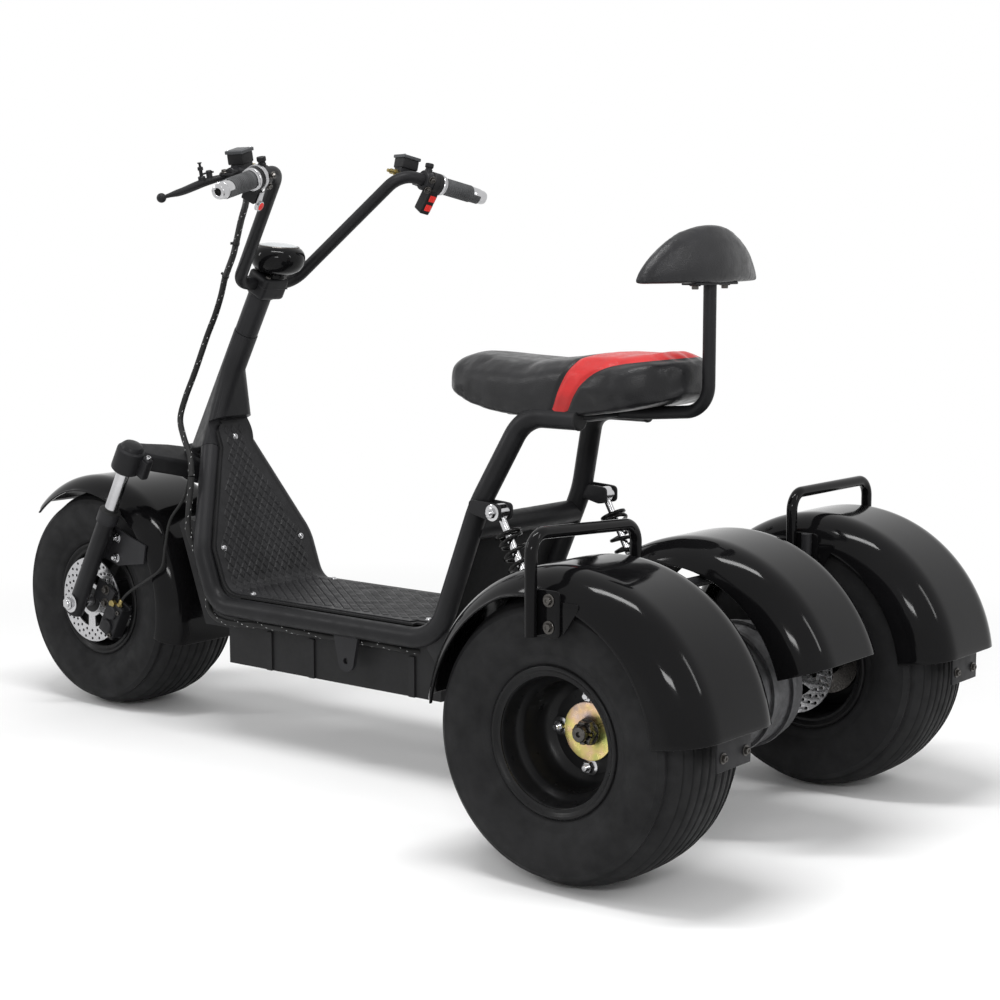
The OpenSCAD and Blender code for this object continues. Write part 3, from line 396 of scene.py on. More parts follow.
def finish_piece(obj, material, body, replaces=()):
    if material:
        obj.data.materials.append(material)
    if replaces:
        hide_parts(*replaces)
    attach(obj, body)
    return obj


def arc(cx, cy, r, start, end, steps):
    """Points of an arc, angles in degrees."""
    turns = [math.radians(start + (end - start) * k / steps) for k in range(steps + 1)]
    return [(cx + r * math.cos(t), cy + r * math.sin(t)) for t in turns]


def smooth_path(points, steps):
    """A smooth curve through given points."""
    path = []
    for i in range(len(points) - 1):
        a, b, c, d = (points[max(i - 1, 0)], points[i], points[i + 1], points[min(i + 2, len(points) - 1)])
        for k in range(steps):
            s = k / steps
            path.append(0.5 * (2 * b + (c - a) * s + (2 * a - 5 * b + 4 * c - d) * s ** 2
                               + (3 * b - a - 3 * c + d) * s ** 3))
    return path + [points[-1]]


def bent_path(points, radii, steps=12):
    """Straight runs through the points, an arc at each inner one."""
    path = [points[0]]
    for before, point, after, r in zip(points, points[1:], points[2:], radii):
        u, v = (point - before).normalized(), (after - point).normalized()
        turn = u.angle(v)
        inward = (v - u.dot(v) * u).normalized()
        centre = point - r * math.tan(turn / 2) * u + r * inward
        for k in range(steps + 1):
            t = turn * k / steps
            path.append(centre + r * (math.sin(t) * u - math.cos(t) * inward))
    return path + [points[-1]]


FRAME_BLACK = powder_coat("frame_black", (0.011, 0.011, 0.012))
FENDER = gloss_shell("fender_gloss", (0.0045, 0.0044, 0.0048))
PLASTIC = moulded("plastic_black", (0.011, 0.011, 0.0115))
TYRE = rubber_skin("tyre_rubber", (0.0085, 0.0085, 0.009))
RIM = powder_coat("rim_black", (0.007, 0.007, 0.0074), 0.34)
GRIP = rubber_skin("grip_rubber", (0.055, 0.056, 0.058), 0.6)
CHROME = bright_metal("chrome", (0.5, 0.5, 0.51), 0.13)
STEEL = bright_metal("steel", (0.47, 0.47, 0.48), 0.32, (1, 1, 6))
ALUMINIUM = cast_metal("aluminium", (0.13, 0.13, 0.135))
ZINC = zinc_plate("zinc_gold")
SPRING = gloss_shell("spring_black", (0.008, 0.008, 0.008))
MAT = rubber_skin("mat_rubber", (0.014, 0.014, 0.015), 0.5)
CABLE = rubber_skin("cable", (0.012, 0.012, 0.012), 0.55)
RED_BUTTON = moulded("button_red", (0.62, 0.03, 0.025), 0.35)
DARK_STEEL = bright_metal("dark_steel", (0.09, 0.085, 0.08), 0.34)
BRASS = bright_metal("brass", (0.3, 0.24, 0.1), 0.34)
# Near-black for the plugs in the grip end caps' holes: painted shade that stands for the depth of the holes
HOLE_SHADE = moulded("painted_hole_shade", (0.004, 0.004, 0.004), 0.6)

NODE_MATERIALS = {
    "frame_black": FRAME_BLACK, "fender_gloss": FENDER, "plastic_black": PLASTIC, "mat": PLASTIC,
    "aluminium": ALUMINIUM,
    "steel": STEEL, "spring_black": SPRING, "chrome": CHROME, "zinc_gold": ZINC, "rim_black": RIM, "tyre": TYRE,
    "grip_rubber": GRIP, "cable": CABLE, "seat_leather": PLASTIC, "back_leather": PLASTIC,
}


def smooth_by_angle(limit):
    """Node group that shades smooth where faces meet at less than limit degrees."""
    group = bpy.data.node_groups.new("smooth_by_angle", "GeometryNodeTree")
    group.interface.new_socket("Geometry", in_out="INPUT", socket_type="NodeSocketGeometry")
    group.interface.new_socket("Geometry", in_out="OUTPUT", socket_type="NodeSocketGeometry")
    inlet, outlet = group.nodes.new("NodeGroupInput"), group.nodes.new("NodeGroupOutput")
    weld = group.nodes.new("GeometryNodeMergeByDistance")
    weld.inputs["Distance"].default_value = 1e-5
    faces = group.nodes.new("GeometryNodeSetShadeSmooth")
    edges = group.nodes.new("GeometryNodeSetShadeSmooth")
    edges.domain = "EDGE"
    edges.inputs["Shade Smooth"].default_value = False
    angle = group.nodes.new("GeometryNodeInputMeshEdgeAngle")
    sharp = group.nodes.new("FunctionNodeCompare")
    sharp.operation = "GREATER_THAN"
    sharp.inputs["B"].default_value = math.radians(limit)
    link = group.links.new
    link(inlet.outputs[0], weld.inputs["Geometry"])
    link(weld.outputs["Geometry"], faces.inputs["Geometry"])
    link(faces.outputs["Geometry"], edges.inputs["Geometry"])
    link(angle.outputs["Unsigned Angle"], sharp.inputs["A"])
    link(sharp.outputs["Result"], edges.inputs["Selection"])
    link(edges.outputs["Geometry"], outlet.inputs[0])
    return group


SMOOTH = smooth_by_angle(31)
for part in frame["record"]["subparts"]:
    kept = frame["nodes"][part["node"]]
    kept.data.materials.clear()
    kept.data.materials.append(NODE_MATERIALS[part["material_slot"]])
    kept.modifiers.new("smooth", "NODES").node_group = SMOOTH

# Wheels: place, body, and which way the dished face looks
WHEELS = {
    "front": (FRONT_AXLE, "front_wheel", 1),
    "rear_left": (REAR_AXLE, "rear_left_wheel", 1),
    "rear_right": (Vector((REAR_AXLE.x, -WHEEL_Y, REAR_AXLE.z)), "rear_right_wheel", -1),
}


def wheel_place(centre, side):
    return axes(centre, (1, 0, 0), (0, side, 0))


def tyre_profile():
    """Section from bead to bead: soft sidewalls with a rim cushion, and ribs over the crown."""
    crown, half = TYRE_R - 0.3 * MM, TYRE_HALF
    shoulder = [(118, 87.6), (122, 92), (128, 95.5), (134, 96), (137, 98.5), (146, 103.5), (158, 107.5), (172, 109),
                (186, 108), (197, 104.5), (199.5, 104.6), (202, 102.8), (208, 98.5)]
    drawn_half = 0.109
    points = [(r * MM, y * MM * half / drawn_half) for r, y in shoulder]
    ribs, groove, deep = 9, 5.6 * MM, 8 * MM
    edge = 88 * MM
    pitch = 2 * edge / ribs

    def crown_r(y):
        return crown - 15 * MM * (abs(y) / edge) ** 3.2

    for k in range(ribs):
        high = edge - k * pitch
        low = high - pitch
        points += [(crown_r(high) - deep * 0.9, high + groove * 0.1), (crown_r(high) - 0.8 * MM, high - groove * 0.42),
                   (crown_r(high), high - groove * 0.42 - 0.9 * MM)]
        points += [(crown_r((high + low) / 2) + 0.2 * MM, (high + low) / 2)]
        points += [(crown_r(low), low + groove * 0.42 + 0.9 * MM), (crown_r(low) - 0.8 * MM, low + groove * 0.42),
                   (crown_r(low) - deep * 0.9, low - groove * 0.1 + groove * 0.2)]
    points += [(r * MM, -y * MM * half / drawn_half) for r, y in reversed(shoulder)]
    inner = [(103 * MM, -86 * MM), (103 * MM, 86 * MM)]
    return points + inner


def rim_profile():
    """The outer shell of the rim: rolled lips, bead seats, a drop centre and the dished web."""
    lip = arc(113.5, 88.5, 4, 0, 150, 6)
    face = [(106, 88), (100.5, 85), (98, 80), (97.5, 62), (94, 56), (88, 50), (86, 44), (85.5, 20), (82, 6), (76, 0),
            (70, -3)]
    web = [(66, -5.6), (20, -6)]
    back = [(20, -11), (66, -11), (80, -8), (90, -4), (91, 40), (101.3, 60), (101.3, 88.3), (117.3, 88.3)]
    points = lip + face + web + back
    return mm(*points)


def rim_back_profile():
    """The rim's inner half, behind the web."""
    points = arc(113.5, -88.5, 4, 0, -150, 6) + [(100, -86), (97.5, -80), (97.5, -20), (91, -9), (91, -4), (94, -4),
                                                 (101.3, -20), (101.3, -88.3), (117.3, -88.3)]
    return mm(*points)


def nut_ring(place, pcd=112, count=4, height=-5.8, across=17, head=10):
    """Wheel nuts on their studs, in millimetres."""
    mesh = Mesh()
    stud = across * 0.3
    for k in range(count):
        angle = 2 * math.pi * k / count
        spot = place @ shift(pcd / 2 * math.cos(angle), pcd / 2 * math.sin(angle), height)
        mesh.hex_head(spot, across, head)
        mesh.lathe(mm((0, head - 1), (stud, head - 1), (stud, head + 6), (across * 0.24, head + 6.8),
                      (0, head + 6.8)), spot, 16)
    return mesh


for name, (centre, body, side) in WHEELS.items():
    place = wheel_place(centre, side)
    Mesh().lathe(tyre_profile(), place, 144, closed=True).piece(f"{name}_tyre_ribbed", TYRE, body, "tyre",
                                                                [f"{name}_tyre"], 38)
    rim = Mesh().lathe(rim_profile(), place, 112, closed=True)
    rim.lathe(rim_back_profile(), place, 112, closed=True)
    valve = place @ shift(-91, 18, 12) @ Matrix.Rotation(math.radians(-50), 4, "Y")
    rim.lathe(mm((0, 0), (7, 0), (6, 5), (4, 9), (4, 26), (4.6, 27), (4.6, 35), (3.6, 36), (0, 36)), valve, 20)
    rim.piece(f"{name}_rim_dished", RIM, body, "rim_black", [f"{name}_rim"])
    nut_ring(place).piece(f"{name}_wheel_nuts", CHROME, body, "chrome")

# Fenders: a shell over the wheel whose skirts end on a second, smaller circle
FENDER_T = 3 * MM
FENDER_COLUMNS = 57


def fender_rows(centre, radius, half, shoulder, start, stop, cut_centre, cut_r, steps=72):
    """Lines across the skin of a fender round the Y axis, angles in degrees from +X."""
    rows = []
    for k in range(steps + 1):
        turn = math.radians(start + (stop - start) * k / steps)
        out = Vector((math.cos(turn), 0, math.sin(turn)))
        gap = centre - cut_centre
        b = gap.dot(out)
        edge = -b + math.sqrt(max(b * b - gap.dot(gap) + cut_r * cut_r, 0))
        edge = min(edge, radius - shoulder * 0.55)
        low = radius - shoulder
        section = [(edge + (low - edge) * i / 6, half) for i in range(7)] if edge < low else []
        section += [(max(r, edge), y) for r, y in arc(low, half - shoulder, shoulder, 90, 0,
                                                      14)[0 if edge >= low else 1:]]
        flat = half - shoulder
        section += [(radius, flat * (1 - i / 5)) for i in range(1, 5)]
        mirrored = [(r, -y) for r, y in reversed(section)]
        rows.append([centre + r * out + Vector((0, y, 0)) for r, y in section + [(radius, 0.0)] + mirrored])
    return rows


def even_row(row, count):
    """The same line with count points spaced evenly along it."""
    reach = [0.0]
    for a, b in zip(row, row[1:]):
        reach.append(reach[-1] + (b - a).length)
    made, i = [], 0
    for k in range(count):
        want = reach[-1] * k / (count - 1)
        while i < len(row) - 2 and reach[i + 1] < want:
            i += 1
        span = reach[i + 1] - reach[i]
        made.append(row[i].lerp(row[i + 1], (want - reach[i]) / span if span else 0))
    return made


def fender_piece(name, body, node, **shape):
    grid = [even_row(row, FENDER_COLUMNS) for row in fender_rows(**shape)]
    mesh = Mesh().add([p for row in grid for p in row], grid_faces(len(grid), FENDER_COLUMNS))
    obj = mesh.piece(name, FENDER, body, "fender_gloss", [node], 60)
    thick = obj.modifiers.new("thickness", "SOLIDIFY")
    thick.thickness = FENDER_T
    thick.offset = 0
    soft = obj.modifiers.new("rim", "BEVEL")
    soft.width = 1.2 * MM
    soft.segments = 2
    soft.limit_method = "ANGLE"
    soft.angle_limit = math.radians(55)
    return obj


REAR_FENDER = dict(radius=266 * MM, half=117.5 * MM, shoulder=58 * MM, start=8, stop=172, cut_r=222 * MM)
for name, side in SIDES:
    wheel = Vector((0, side * WHEEL_Y, TYRE_R))
    fender_piece(f"fender_{name}_shell", "frame", f"fender_{name}",
                 centre=at(-13, 0, 0) + wheel, cut_centre=at(25, 0, 0) + wheel, **REAR_FENDER)
fender_piece(
    "fender_centre_shell", "frame", "fender_centre",
    centre=at(3, 0, 0) + Vector((0, 0, TYRE_R)), cut_centre=at(35, 0, 0) + Vector((0, 0, TYRE_R)),
    **{**REAR_FENDER, "radius": 264 * MM, "half": 113.5 * MM, "start": 17, "stop": 162},
)
fender_piece(
    "front_fender_shell", "steering", "front_fender", centre=FRONT_AXLE,
    cut_centre=FRONT_AXLE + Vector((20 * MM, 0, 0)),
    radius=256.5 * MM, half=116.5 * MM, shoulder=46 * MM, start=47, stop=196, cut_r=226 * MM,
)


# Cushions: lofted a little small, then filled out as cloth under pressure
def loft(sections, name):
    """Closed mesh through sections that have the same count of points."""
    count = len(sections[0])
    last = (len(sections) - 1) * count
    faces = grid_faces(len(sections), count, True) + [list(range(count)), [last + j for j in range(count)]]
    data = bpy.data.meshes.new(name)
    data.from_pydata([tuple(p) for section in sections for p in section], [], faces)
    obj = bpy.data.objects.new(name, data)
    bpy.context.scene.collection.objects.link(obj)
    fix = bmesh.new()
    fix.from_mesh(data)
    bmesh.ops.recalc_face_normals(fix, faces=fix.faces)
    fix.to_mesh(data)
    fix.free()
    return obj


def applied(obj):
    """The object's mesh with its modifiers carried out."""
    shown = obj.evaluated_get(bpy.context.evaluated_depsgraph_get())
    data = bpy.data.meshes.new_from_object(shown)
    obj.modifiers.clear()
    obj.data = data
    return obj


# Height over which a cushion goes from its flat base to its full swell
BASE_FADE = 0.012


def inflate(obj, voxel, pressure, cap, flat_below, frames=20):
    """Fills a cushion: remesh, cloth under pressure, each point's move capped, the base left flat."""
    remesh = obj.modifiers.new("remesh", "REMESH")
    remesh.mode = "VOXEL"
    remesh.voxel_size = voxel
    applied(obj)
    start = [v.co.copy() for v in obj.data.vertices]
    cloth = obj.modifiers.new("cloth", "CLOTH")
    cloth.settings.use_pressure = True
    cloth.settings.uniform_pressure_force = pressure
    cloth.settings.effector_weights.gravity = 0
    cloth.settings.quality = 4
    cloth.point_cache.frame_end = frames
    for step in range(1, frames + 1):
        bpy.context.scene.frame_set(step)
    shown = obj.evaluated_get(bpy.context.evaluated_depsgraph_get())
    moved = [v.co.copy() for v in shown.data.vertices]
    obj.modifiers.clear()
    bpy.context.scene.frame_set(1)
    for vert, a, b in zip(obj.data.vertices, start, moved):
        move = b - a
        if move.length > cap:
            move *= cap / move.length
        keep = min(max((a.z - flat_below(a)) / BASE_FADE, 0), 1)
        vert.co = a + move * keep
    soft = obj.modifiers.new("soft", "SMOOTH")
    soft.factor, soft.iterations = 0.5, 4
    fine = obj.modifiers.new("fine", "SUBSURF")
    fine.levels = fine.render_levels = 1
    return applied(obj)


def blend_keys(keys, x):
    """Values at x, eased between key rows that run down in x."""
    for a, b in zip(keys, keys[1:]):
        if b[0] <= x <= a[0]:
            s = (a[0] - x) / (a[0] - b[0])
            return [p + (q - p) * s for p, q in zip(a[1:], b[1:])]
    return list(keys[-1][1:])


# Seat stations from the nose to the tail: x, half width, base, shoulder and crown heights
SEAT = [
    (563, 22, 728, 742, 747), (556, 38, 718, 747, 756), (545, 54, 709, 751, 763), (528, 70, 701, 754, 770),
    (480, 92, 688, 752, 769),
    (420, 108, 678, 750, 765), (343, 120, 673, 750, 761), (269, 125, 676, 761, 769), (215, 126, 680, 767, 777),
    (150, 124, 690, 768, 776),
    (110, 116, 698, 771, 780), (88, 102, 704, 773, 785), (72, 82, 710, 772, 785), (62, 58, 716, 768, 780),
    (56, 32, 724, 762, 772), ]
SEAT_NOSE, SEAT_TAIL = SEAT[0][0], SEAT[-1][0]
SEAT_STEPS = 52
SEAT_CORE_Z = 0.735
# The cross seam leans; the seam over each side panel falls slowly and then dives to the cross seam
SEAM_SLOPE, SEAM_AT = 0.5, 613.5
EDGE_HIGH, EDGE_FALL = 788.0, 0.13
DIVE_FROM, DIVE_RUN, DIVE_DROP = 120.0, 117.0, 72.0


def panel_edge(x):
    """Height of the seam over the rear side panel."""
    return EDGE_HIGH - EDGE_FALL * x - DIVE_DROP * max((x - DIVE_FROM) / DIVE_RUN, 0) ** 3


def seat_section(x):
    half, base, shoulder, crown = blend_keys(SEAT, x)
    side = [
        (0, base), (0.45 * half, base), (0.84 * half, base), (0.95 * half, base + 7),
        (half, base + 0.42 * (shoulder - base)),
        (0.985 * half, shoulder - 16), (0.93 * half, shoulder - 4), (0.8 * half, shoulder + 0.4 * (crown - shoulder)),
        (0.45 * half, shoulder + 0.85 * (crown - shoulder)), (0, crown),
    ]
    loop = side + [(-y, z) for y, z in reversed(side[1:-1])]
    return [at(x, y, z) for y, z in loop]


stations = [SEAT_NOSE - (SEAT_NOSE - SEAT_TAIL) * k / SEAT_STEPS for k in range(SEAT_STEPS + 1)]
seat = loft([seat_section(x) for x in stations], "seat_cushion_sewn")


def base_height(x):
    return blend_keys(SEAT, min(max(x, SEAT_TAIL), SEAT_NOSE))[1]


def seat_base(point):
    return base_height((point.x - REAR_AXLE.x) / MM) * MM + 2 * MM


inflate(seat, 5.5 * MM, 4.0, 7 * MM, seat_base)
for vert in seat.data.vertices:
    x, z = (vert.co.x - REAR_AXLE.x) / MM, vert.co.z / MM
    ahead = (x + SEAM_SLOPE * z - SEAM_AT) / math.hypot(1, SEAM_SLOPE)
    over = (z - panel_edge(x)) / 1.25 if ahead < 0 else 99
    dip = 3.0 * math.exp(-(ahead / 4.0) ** 2) + (2.6 * math.exp(-(over / 4.0) ** 2) if x < 240 else 0)
    inward = Vector((0, -vert.co.y, SEAT_CORE_Z - vert.co.z))
    if inward.length > 1e-6 and z > base_height(x) + 6:
        vert.co += inward.normalized() * dip * MM


def seat_red(s):
    """Where the red leather shows: behind the cross seam and over the side panels' edge."""
    split = s.node("ShaderNodeSeparateXYZ", Vector=s.place)

    def calc(kind, a, b):
        return math_node(s.tree, kind, a, b)

    x = calc("MULTIPLY", calc("SUBTRACT", split.outputs["X"], REAR_AXLE.x), 1 / MM)
    z = calc("MULTIPLY", split.outputs["Z"], 1 / MM)
    ahead = calc("SUBTRACT", calc("ADD", x, calc("MULTIPLY", z, SEAM_SLOPE)), SEAM_AT)
    past = calc("MAXIMUM", calc("DIVIDE", calc("SUBTRACT", x, DIVE_FROM), DIVE_RUN), 0.0)
    slow = calc("SUBTRACT", EDGE_HIGH, calc("MULTIPLY", x, EDGE_FALL))
    edge = calc("SUBTRACT", slow, calc("MULTIPLY", calc("POWER", past, 3.0), DIVE_DROP))
    return calc("MULTIPLY", calc("LESS_THAN", ahead, 0.0), calc("GREATER_THAN", z, edge))


SEAT_LEATHER = leather("seat_leather", (0.0095, 0.0095, 0.0105), 0.36, accent=(0.46, 0.022, 0.022), mask=seat_red)
BACK_LEATHER = leather("back_leather", (0.014, 0.014, 0.0155), 0.36)
shade_smooth(seat.data)
finish_piece(seat, SEAT_LEATHER, "frame", ["seat_cushion"])

# Backrest: a low dome, thick in the middle, whose ends sweep forward
BACK_HALF, BACK_LOW, BACK_RISE = 167.0, 903.0, 95.0


def back_section(y):
    s = min(abs(y) / BACK_HALF, 1.0)
    top = BACK_LOW + 10 + (BACK_RISE - 10) * (1 - s ** 2.1) ** 0.75
    thick = 60 * (1 - 0.62 * s ** 2)
    rear = 1 + 42 * s ** 1.8
    tall = top - BACK_LOW
    loop = [
        (rear + 4, BACK_LOW), (rear + 0.5 * thick, BACK_LOW), (rear + thick - 4, BACK_LOW),
        (rear + thick, BACK_LOW + 0.12 * tall),
        (rear + 0.98 * thick, BACK_LOW + 0.45 * tall), (rear + 0.86 * thick, BACK_LOW + 0.8 * tall),
        (rear + 0.7 * thick, top - 2),
        (rear + 0.52 * thick, top), (rear + 0.34 * thick, top - 3), (rear + 0.16 * thick, BACK_LOW + 0.74 * tall),
        (rear + 0.03 * thick, BACK_LOW + 0.4 * tall), (rear, BACK_LOW + 0.1 * tall),
    ]
    return [at(x, y, z) for x, z in loop]


back = loft([back_section(-BACK_HALF + 2 * BACK_HALF * k / 40) for k in range(41)], "backrest_cushion_sewn")
inflate(back, 5 * MM, 4.0, 6 * MM, lambda point: (BACK_LOW + 2) * MM)
shade_smooth(back.data)
finish_piece(back, BACK_LEATHER, "frame", ["backrest_pad"])


# Shared places and shapes for the added pieces
ALONG_Y = Matrix.Rotation(-math.pi / 2, 4, "X")
UPRIGHT = Matrix.Rotation(math.pi / 2, 4, "X")
REARWARD = Matrix.Rotation(-math.pi / 2, 4, "Y")
MIRROR_Y = Matrix.Diagonal((1, -1, 1, 1))
STEER_FRAME = axes(STEER_P, STEER_N, STEER_A)


def mirror(side):
    """What takes a place on the left to the given side."""
    return MIRROR_Y if side < 0 else Matrix()


def stem(x, y, z):
    """Frame at a point of the steering frame."""
    return STEER_FRAME @ shift(x, y, z)


def ring_points(cx, cy, r, count, turn=0.0):
    return [(cx + r * math.cos(turn + 2 * math.pi * k / count),
             cy + r * math.sin(turn + 2 * math.pi * k / count)) for k in range(count)]


def perforated(mesh, outlines, thick, place, bevel=0.3):
    """Plate in XY with holes: the first outline is the rim, the others are cut from it."""
    curve = bpy.data.curves.new("plate", "CURVE")
    curve.dimensions = "2D"
    curve.fill_mode = "BOTH"
    curve.extrude = (thick / 2 - bevel) * MM
    curve.bevel_depth = bevel * MM
    curve.bevel_resolution = 1
    curve.offset = -bevel * MM
    for outline in outlines:
        line = curve.splines.new("POLY")
        line.points.add(len(outline) - 1)
        line.use_cyclic_u = True
        for point, (x, y) in zip(line.points, outline):
            point.co = (x * MM, y * MM, 0, 1)
    shell = bpy.data.objects.new("plate", curve)
    bpy.context.scene.collection.objects.link(shell)
    data = bpy.data.meshes.new_from_object(shell.evaluated_get(bpy.context.evaluated_depsgraph_get()))
    mesh.add([v.co.copy() for v in data.vertices], [list(p.vertices) for p in data.polygons], place)
    bpy.data.objects.remove(shell)
    bpy.data.curves.remove(curve)
    bpy.data.meshes.remove(data)
    return mesh


def socket_screw(mesh, place, head_r, head_h):
    """Round head with a hexagon socket."""
    outer = mm((0, 0), (head_r, 0), (head_r, head_h - 0.6), (head_r - 0.6, head_h), (head_r * 0.55, head_h))
    mesh.lathe(outer + mm((head_r * 0.5, head_h * 0.45), (0, head_h * 0.45)), place, 24)
    return mesh


# Handlebar and its controls, placed by the distance from the outer end of the grip
GRIP_DIR = Vector((-0.316, 1, -0.091)).normalized()
BAR_END = Vector((-147, 361.7, 1044))
BAR_R = 12 * MM
BAR_HALF = [Vector((-3, 74, 777)), BAR_END - 206 * GRIP_DIR, BAR_END - 10 * GRIP_DIR]
CAP_END, GRIP_START, POD_AT, PERCH_AT = 36.0, 104.3, 136.9, 146.2
bar_points = [steer(p.x, -p.y, p.z) for p in reversed(BAR_HALF)] + [steer(p.x, p.y, p.z) for p in BAR_HALF]
bar_bends = [48 * MM, 40 * MM, 40 * MM, 48 * MM]
Mesh().tube(bent_path(bar_points, bar_bends, 14), BAR_R, 28, STEER_N).piece(
    "handlebar_tube", FRAME_BLACK, "steering", "frame_black", ["handlebar"])


def bar_place(along, side):
    """Frame on the bar, Y outward along it."""
    turn = Matrix.Rotation(math.atan2(-GRIP_DIR.x, GRIP_DIR.y), 4, "Z") @ Matrix.Rotation(math.asin(GRIP_DIR.z), 4, "X")
    made = STEER_FRAME @ Matrix.Translation((BAR_END - along * GRIP_DIR) * MM) @ turn
    return mirror(side) @ made


def perch_place(side):
    made = bar_place(PERCH_AT, 1) @ Matrix.Rotation(RAKE, 4, "Y")
    return mirror(side) @ made


def grip_profile():
    """Rubber sleeve with fine ribs, heights from the grip's outer end inward."""
    points = [(12.3, 0), (15.6, 0), (16.4, 0.8)]
    rib = 0.0
    while rib < 60:
        points += [(16.9, 2 + rib), (16.9, 4.6 + rib), (16.0, 5.4 + rib), (16.0, 6.4 + rib)]
        rib += 5
    return mm(*points, (17.0, 66), (17.0, 67.4), (16.4, 68), (12.3, 68))


grips, caps, holes, rings = Mesh(), Mesh(), Mesh(), Mesh()
for side in (1, -1):
    grips.lathe(grip_profile(), bar_place(CAP_END + 0.3, side) @ UPRIGHT, 40, closed=True)
    end = bar_place(0, side) @ UPRIGHT
    caps.lathe(mm((6.4, 9), (6.4, 1.6), (7.4, 0.4), (9.6, 0), (12.2, 1.2), (13.4, 4), (14.6, 15), (14.6, 16.2),
                  (15.4, 16.6), (15.9, 35), (15.4, 36), (12.3, 36), (12.3, 9)), end, 48, closed=True)
    # A near-black plug in the cap's hole: painted shade for the hole's depth
    holes.lathe(mm((0, 3.4), (2.4, 3.4), (2.8, 4.2), (3.6, 4.2), (4.2, 3.2), (6.3, 3.2), (6.3, 8.8), (0, 8.8)), end, 32)
    for turn in (0.25, math.pi + 0.25):
        finger = []
        for i in range(9):
            angle = turn - 0.62 + 1.24 * i / 8
            row = [(15.4, 37), (16.6, 37), (16.7, 19 if 0 < i < 8 else 20), (15.2, 18.6)]
            finger += [end @ Vector((r * MM * math.cos(angle), r * MM * math.sin(angle), h * MM)) for r, h in row]
        grips.add(finger, grid_faces(9, 4, True) + [[0, 1, 2, 3], [32, 33, 34, 35]])
    rings.lathe(mm((12.3, 0), (18.4, 0), (19.4, 1), (19.4, 3), (18.2, 3.6), (18.2, 4.4), (20.4, 5), (21, 6), (21, 9),
                   (20.2, 10), (12.3, 10)), bar_place(GRIP_START + 0.3, side) @ UPRIGHT, 48, closed=True)
grips.piece("grip_sleeves", GRIP, "steering", "grip_rubber", ["grips"], 40)
caps.add(rings.verts, rings.faces)
caps.piece("grip_end_caps", CHROME, "steering", "chrome", ["grip_ends"])
holes.piece("grip_end_holes", HOLE_SHADE, "steering", "plastic_black")

# Brake levers: perch, master cylinder, blade with a ball end
levers, lever_bolts, brass = Mesh(), Mesh(), Mesh()
CYL_X, CYL_Z = 50.0, 9.0
for side in (1, -1):
    perch = perch_place(side)
    ring = bar_place(PERCH_AT + 9, side) @ ALONG_Y
    levers.lathe(mm((12.2, 0), (18, 0), (19.6, 1.4), (19.6, 16.6), (18, 18), (12.2, 18)), ring, 40, closed=True)

    def spot(x, y, z):
        return perch @ Vector((x * MM, y * MM, z * MM))

    levers.tube([spot(15, 0, 4), spot(30, 0, 6), spot(CYL_X, 2, CYL_Z)], [10 * MM, 9 * MM, 10 * MM], 20)
    bore = perch @ shift(CYL_X, 0, CYL_Z) @ ALONG_Y
    levers.lathe(mm((0, -37), (7, -37), (7, -34), (10, -34), (11, -32), (11, 22), (9.6, 24), (9.6, 30), (0, 30)),
                 bore, 32)
    levers.block((24, 38, 12), perch @ shift(CYL_X, -17, CYL_Z + 5.5), 2)
    pivot = (CYL_X + 9, 28.0, 5.0)
    drop = -2.0 if side > 0 else 13.0
    for z in (-1.0, 9.5):
        levers.plate([(-20, -14), (6, -14)] + arc(0, 0, 10, -50, 110, 10) + [(-20, 6)], 3.5,
                     perch @ shift(pivot[0], pivot[1], pivot[2] + z - 6))
    blade = smooth_path([spot(*p) for p in (pivot, (72, 42, 4 + drop / 4), (82, 62, 3 + drop / 2), (87, 88, 2 + drop),
                                            (91, 118, drop), (95, 146, drop), (97.6, 168, drop))], 6)
    reach = len(blade) - 1
    wide = [(5.2 + 2.2 * math.sin(math.pi * min(k / reach * 1.15, 1)) - (2.4 * max(k / reach - 0.75,
            0) / 0.25)) * MM for k in range(reach + 1)]
    levers.tube(blade, wide, 20, (0, 0, 1))
    levers.lathe([(8.5 * MM * math.sin(math.pi * k / 16), -8.5 * MM * math.cos(math.pi * k / 16)) for k in range(17)],
                 perch @ shift(98, 174, drop), 28)
    boss = perch @ shift(-4, 0, -8)
    levers.lathe(mm((0, 10), (7.4, 10), (7.4, 30), (6.4, 31), (6.4, 33), (8, 34), (8.4, 35), (8.4, 41), (7.6, 42),
                    (4.1, 42), (4.1, 24), (0, 24)), boss, 32)
    lever_bolts.hex_head(perch @ shift(pivot[0], pivot[1], pivot[2] + 7.2), 10, 6)
    for height in (11, -11):
        rear_face = bar_place(PERCH_AT, side) @ shift(-18.6, 0, height) @ REARWARD
        lever_bolts.hex_head(rear_face, 9, 6)
    fitting = perch @ shift(CYL_X, -37, CYL_Z) @ UPRIGHT
    brass.lathe(mm((0, 0), (6.4, 0), (6.4, 6), (0, 6)), fitting, 6)
    brass.lathe(mm((0, 5.8), (4, 5.8), (4, 10), (5.4, 10.4), (5.4, 15), (3.4, 15.6), (3.4, 22), (0, 22.4)), fitting, 24)
lock = perch_place(1) @ shift(83, 66, 0)
levers.lathe(mm((0, 0), (6.6, 0), (6.6, 13), (5.6, 14), (3.2, 14), (3.2, 24), (5, 25), (5, 30), (3, 31), (2.2, 31),
                (2.2, 36), (4, 37), (4, 38.5), (0, 39)), lock, 24)
levers.tube([lock @ Vector(p) for p in mm((0, 0, 17), (-6, -14, 18), (-10, -24, 17))], 1.8 * MM, 12, (1, 0, 0))
levers.lathe(mm((0, -4), (5.6, -4), (5.6, 16), (4.4, 17.4), (0, 17.4)), perch_place(1) @ shift(77, 50, 4), 24)
levers.piece("brake_lever_pair", FRAME_BLACK, "steering", "frame_black", ["brake_levers"])
lever_bolts.piece("lever_bolts", DARK_STEEL, "steering", "steel")
brass.piece("brake_fittings", BRASS, "steering", "zinc_gold")

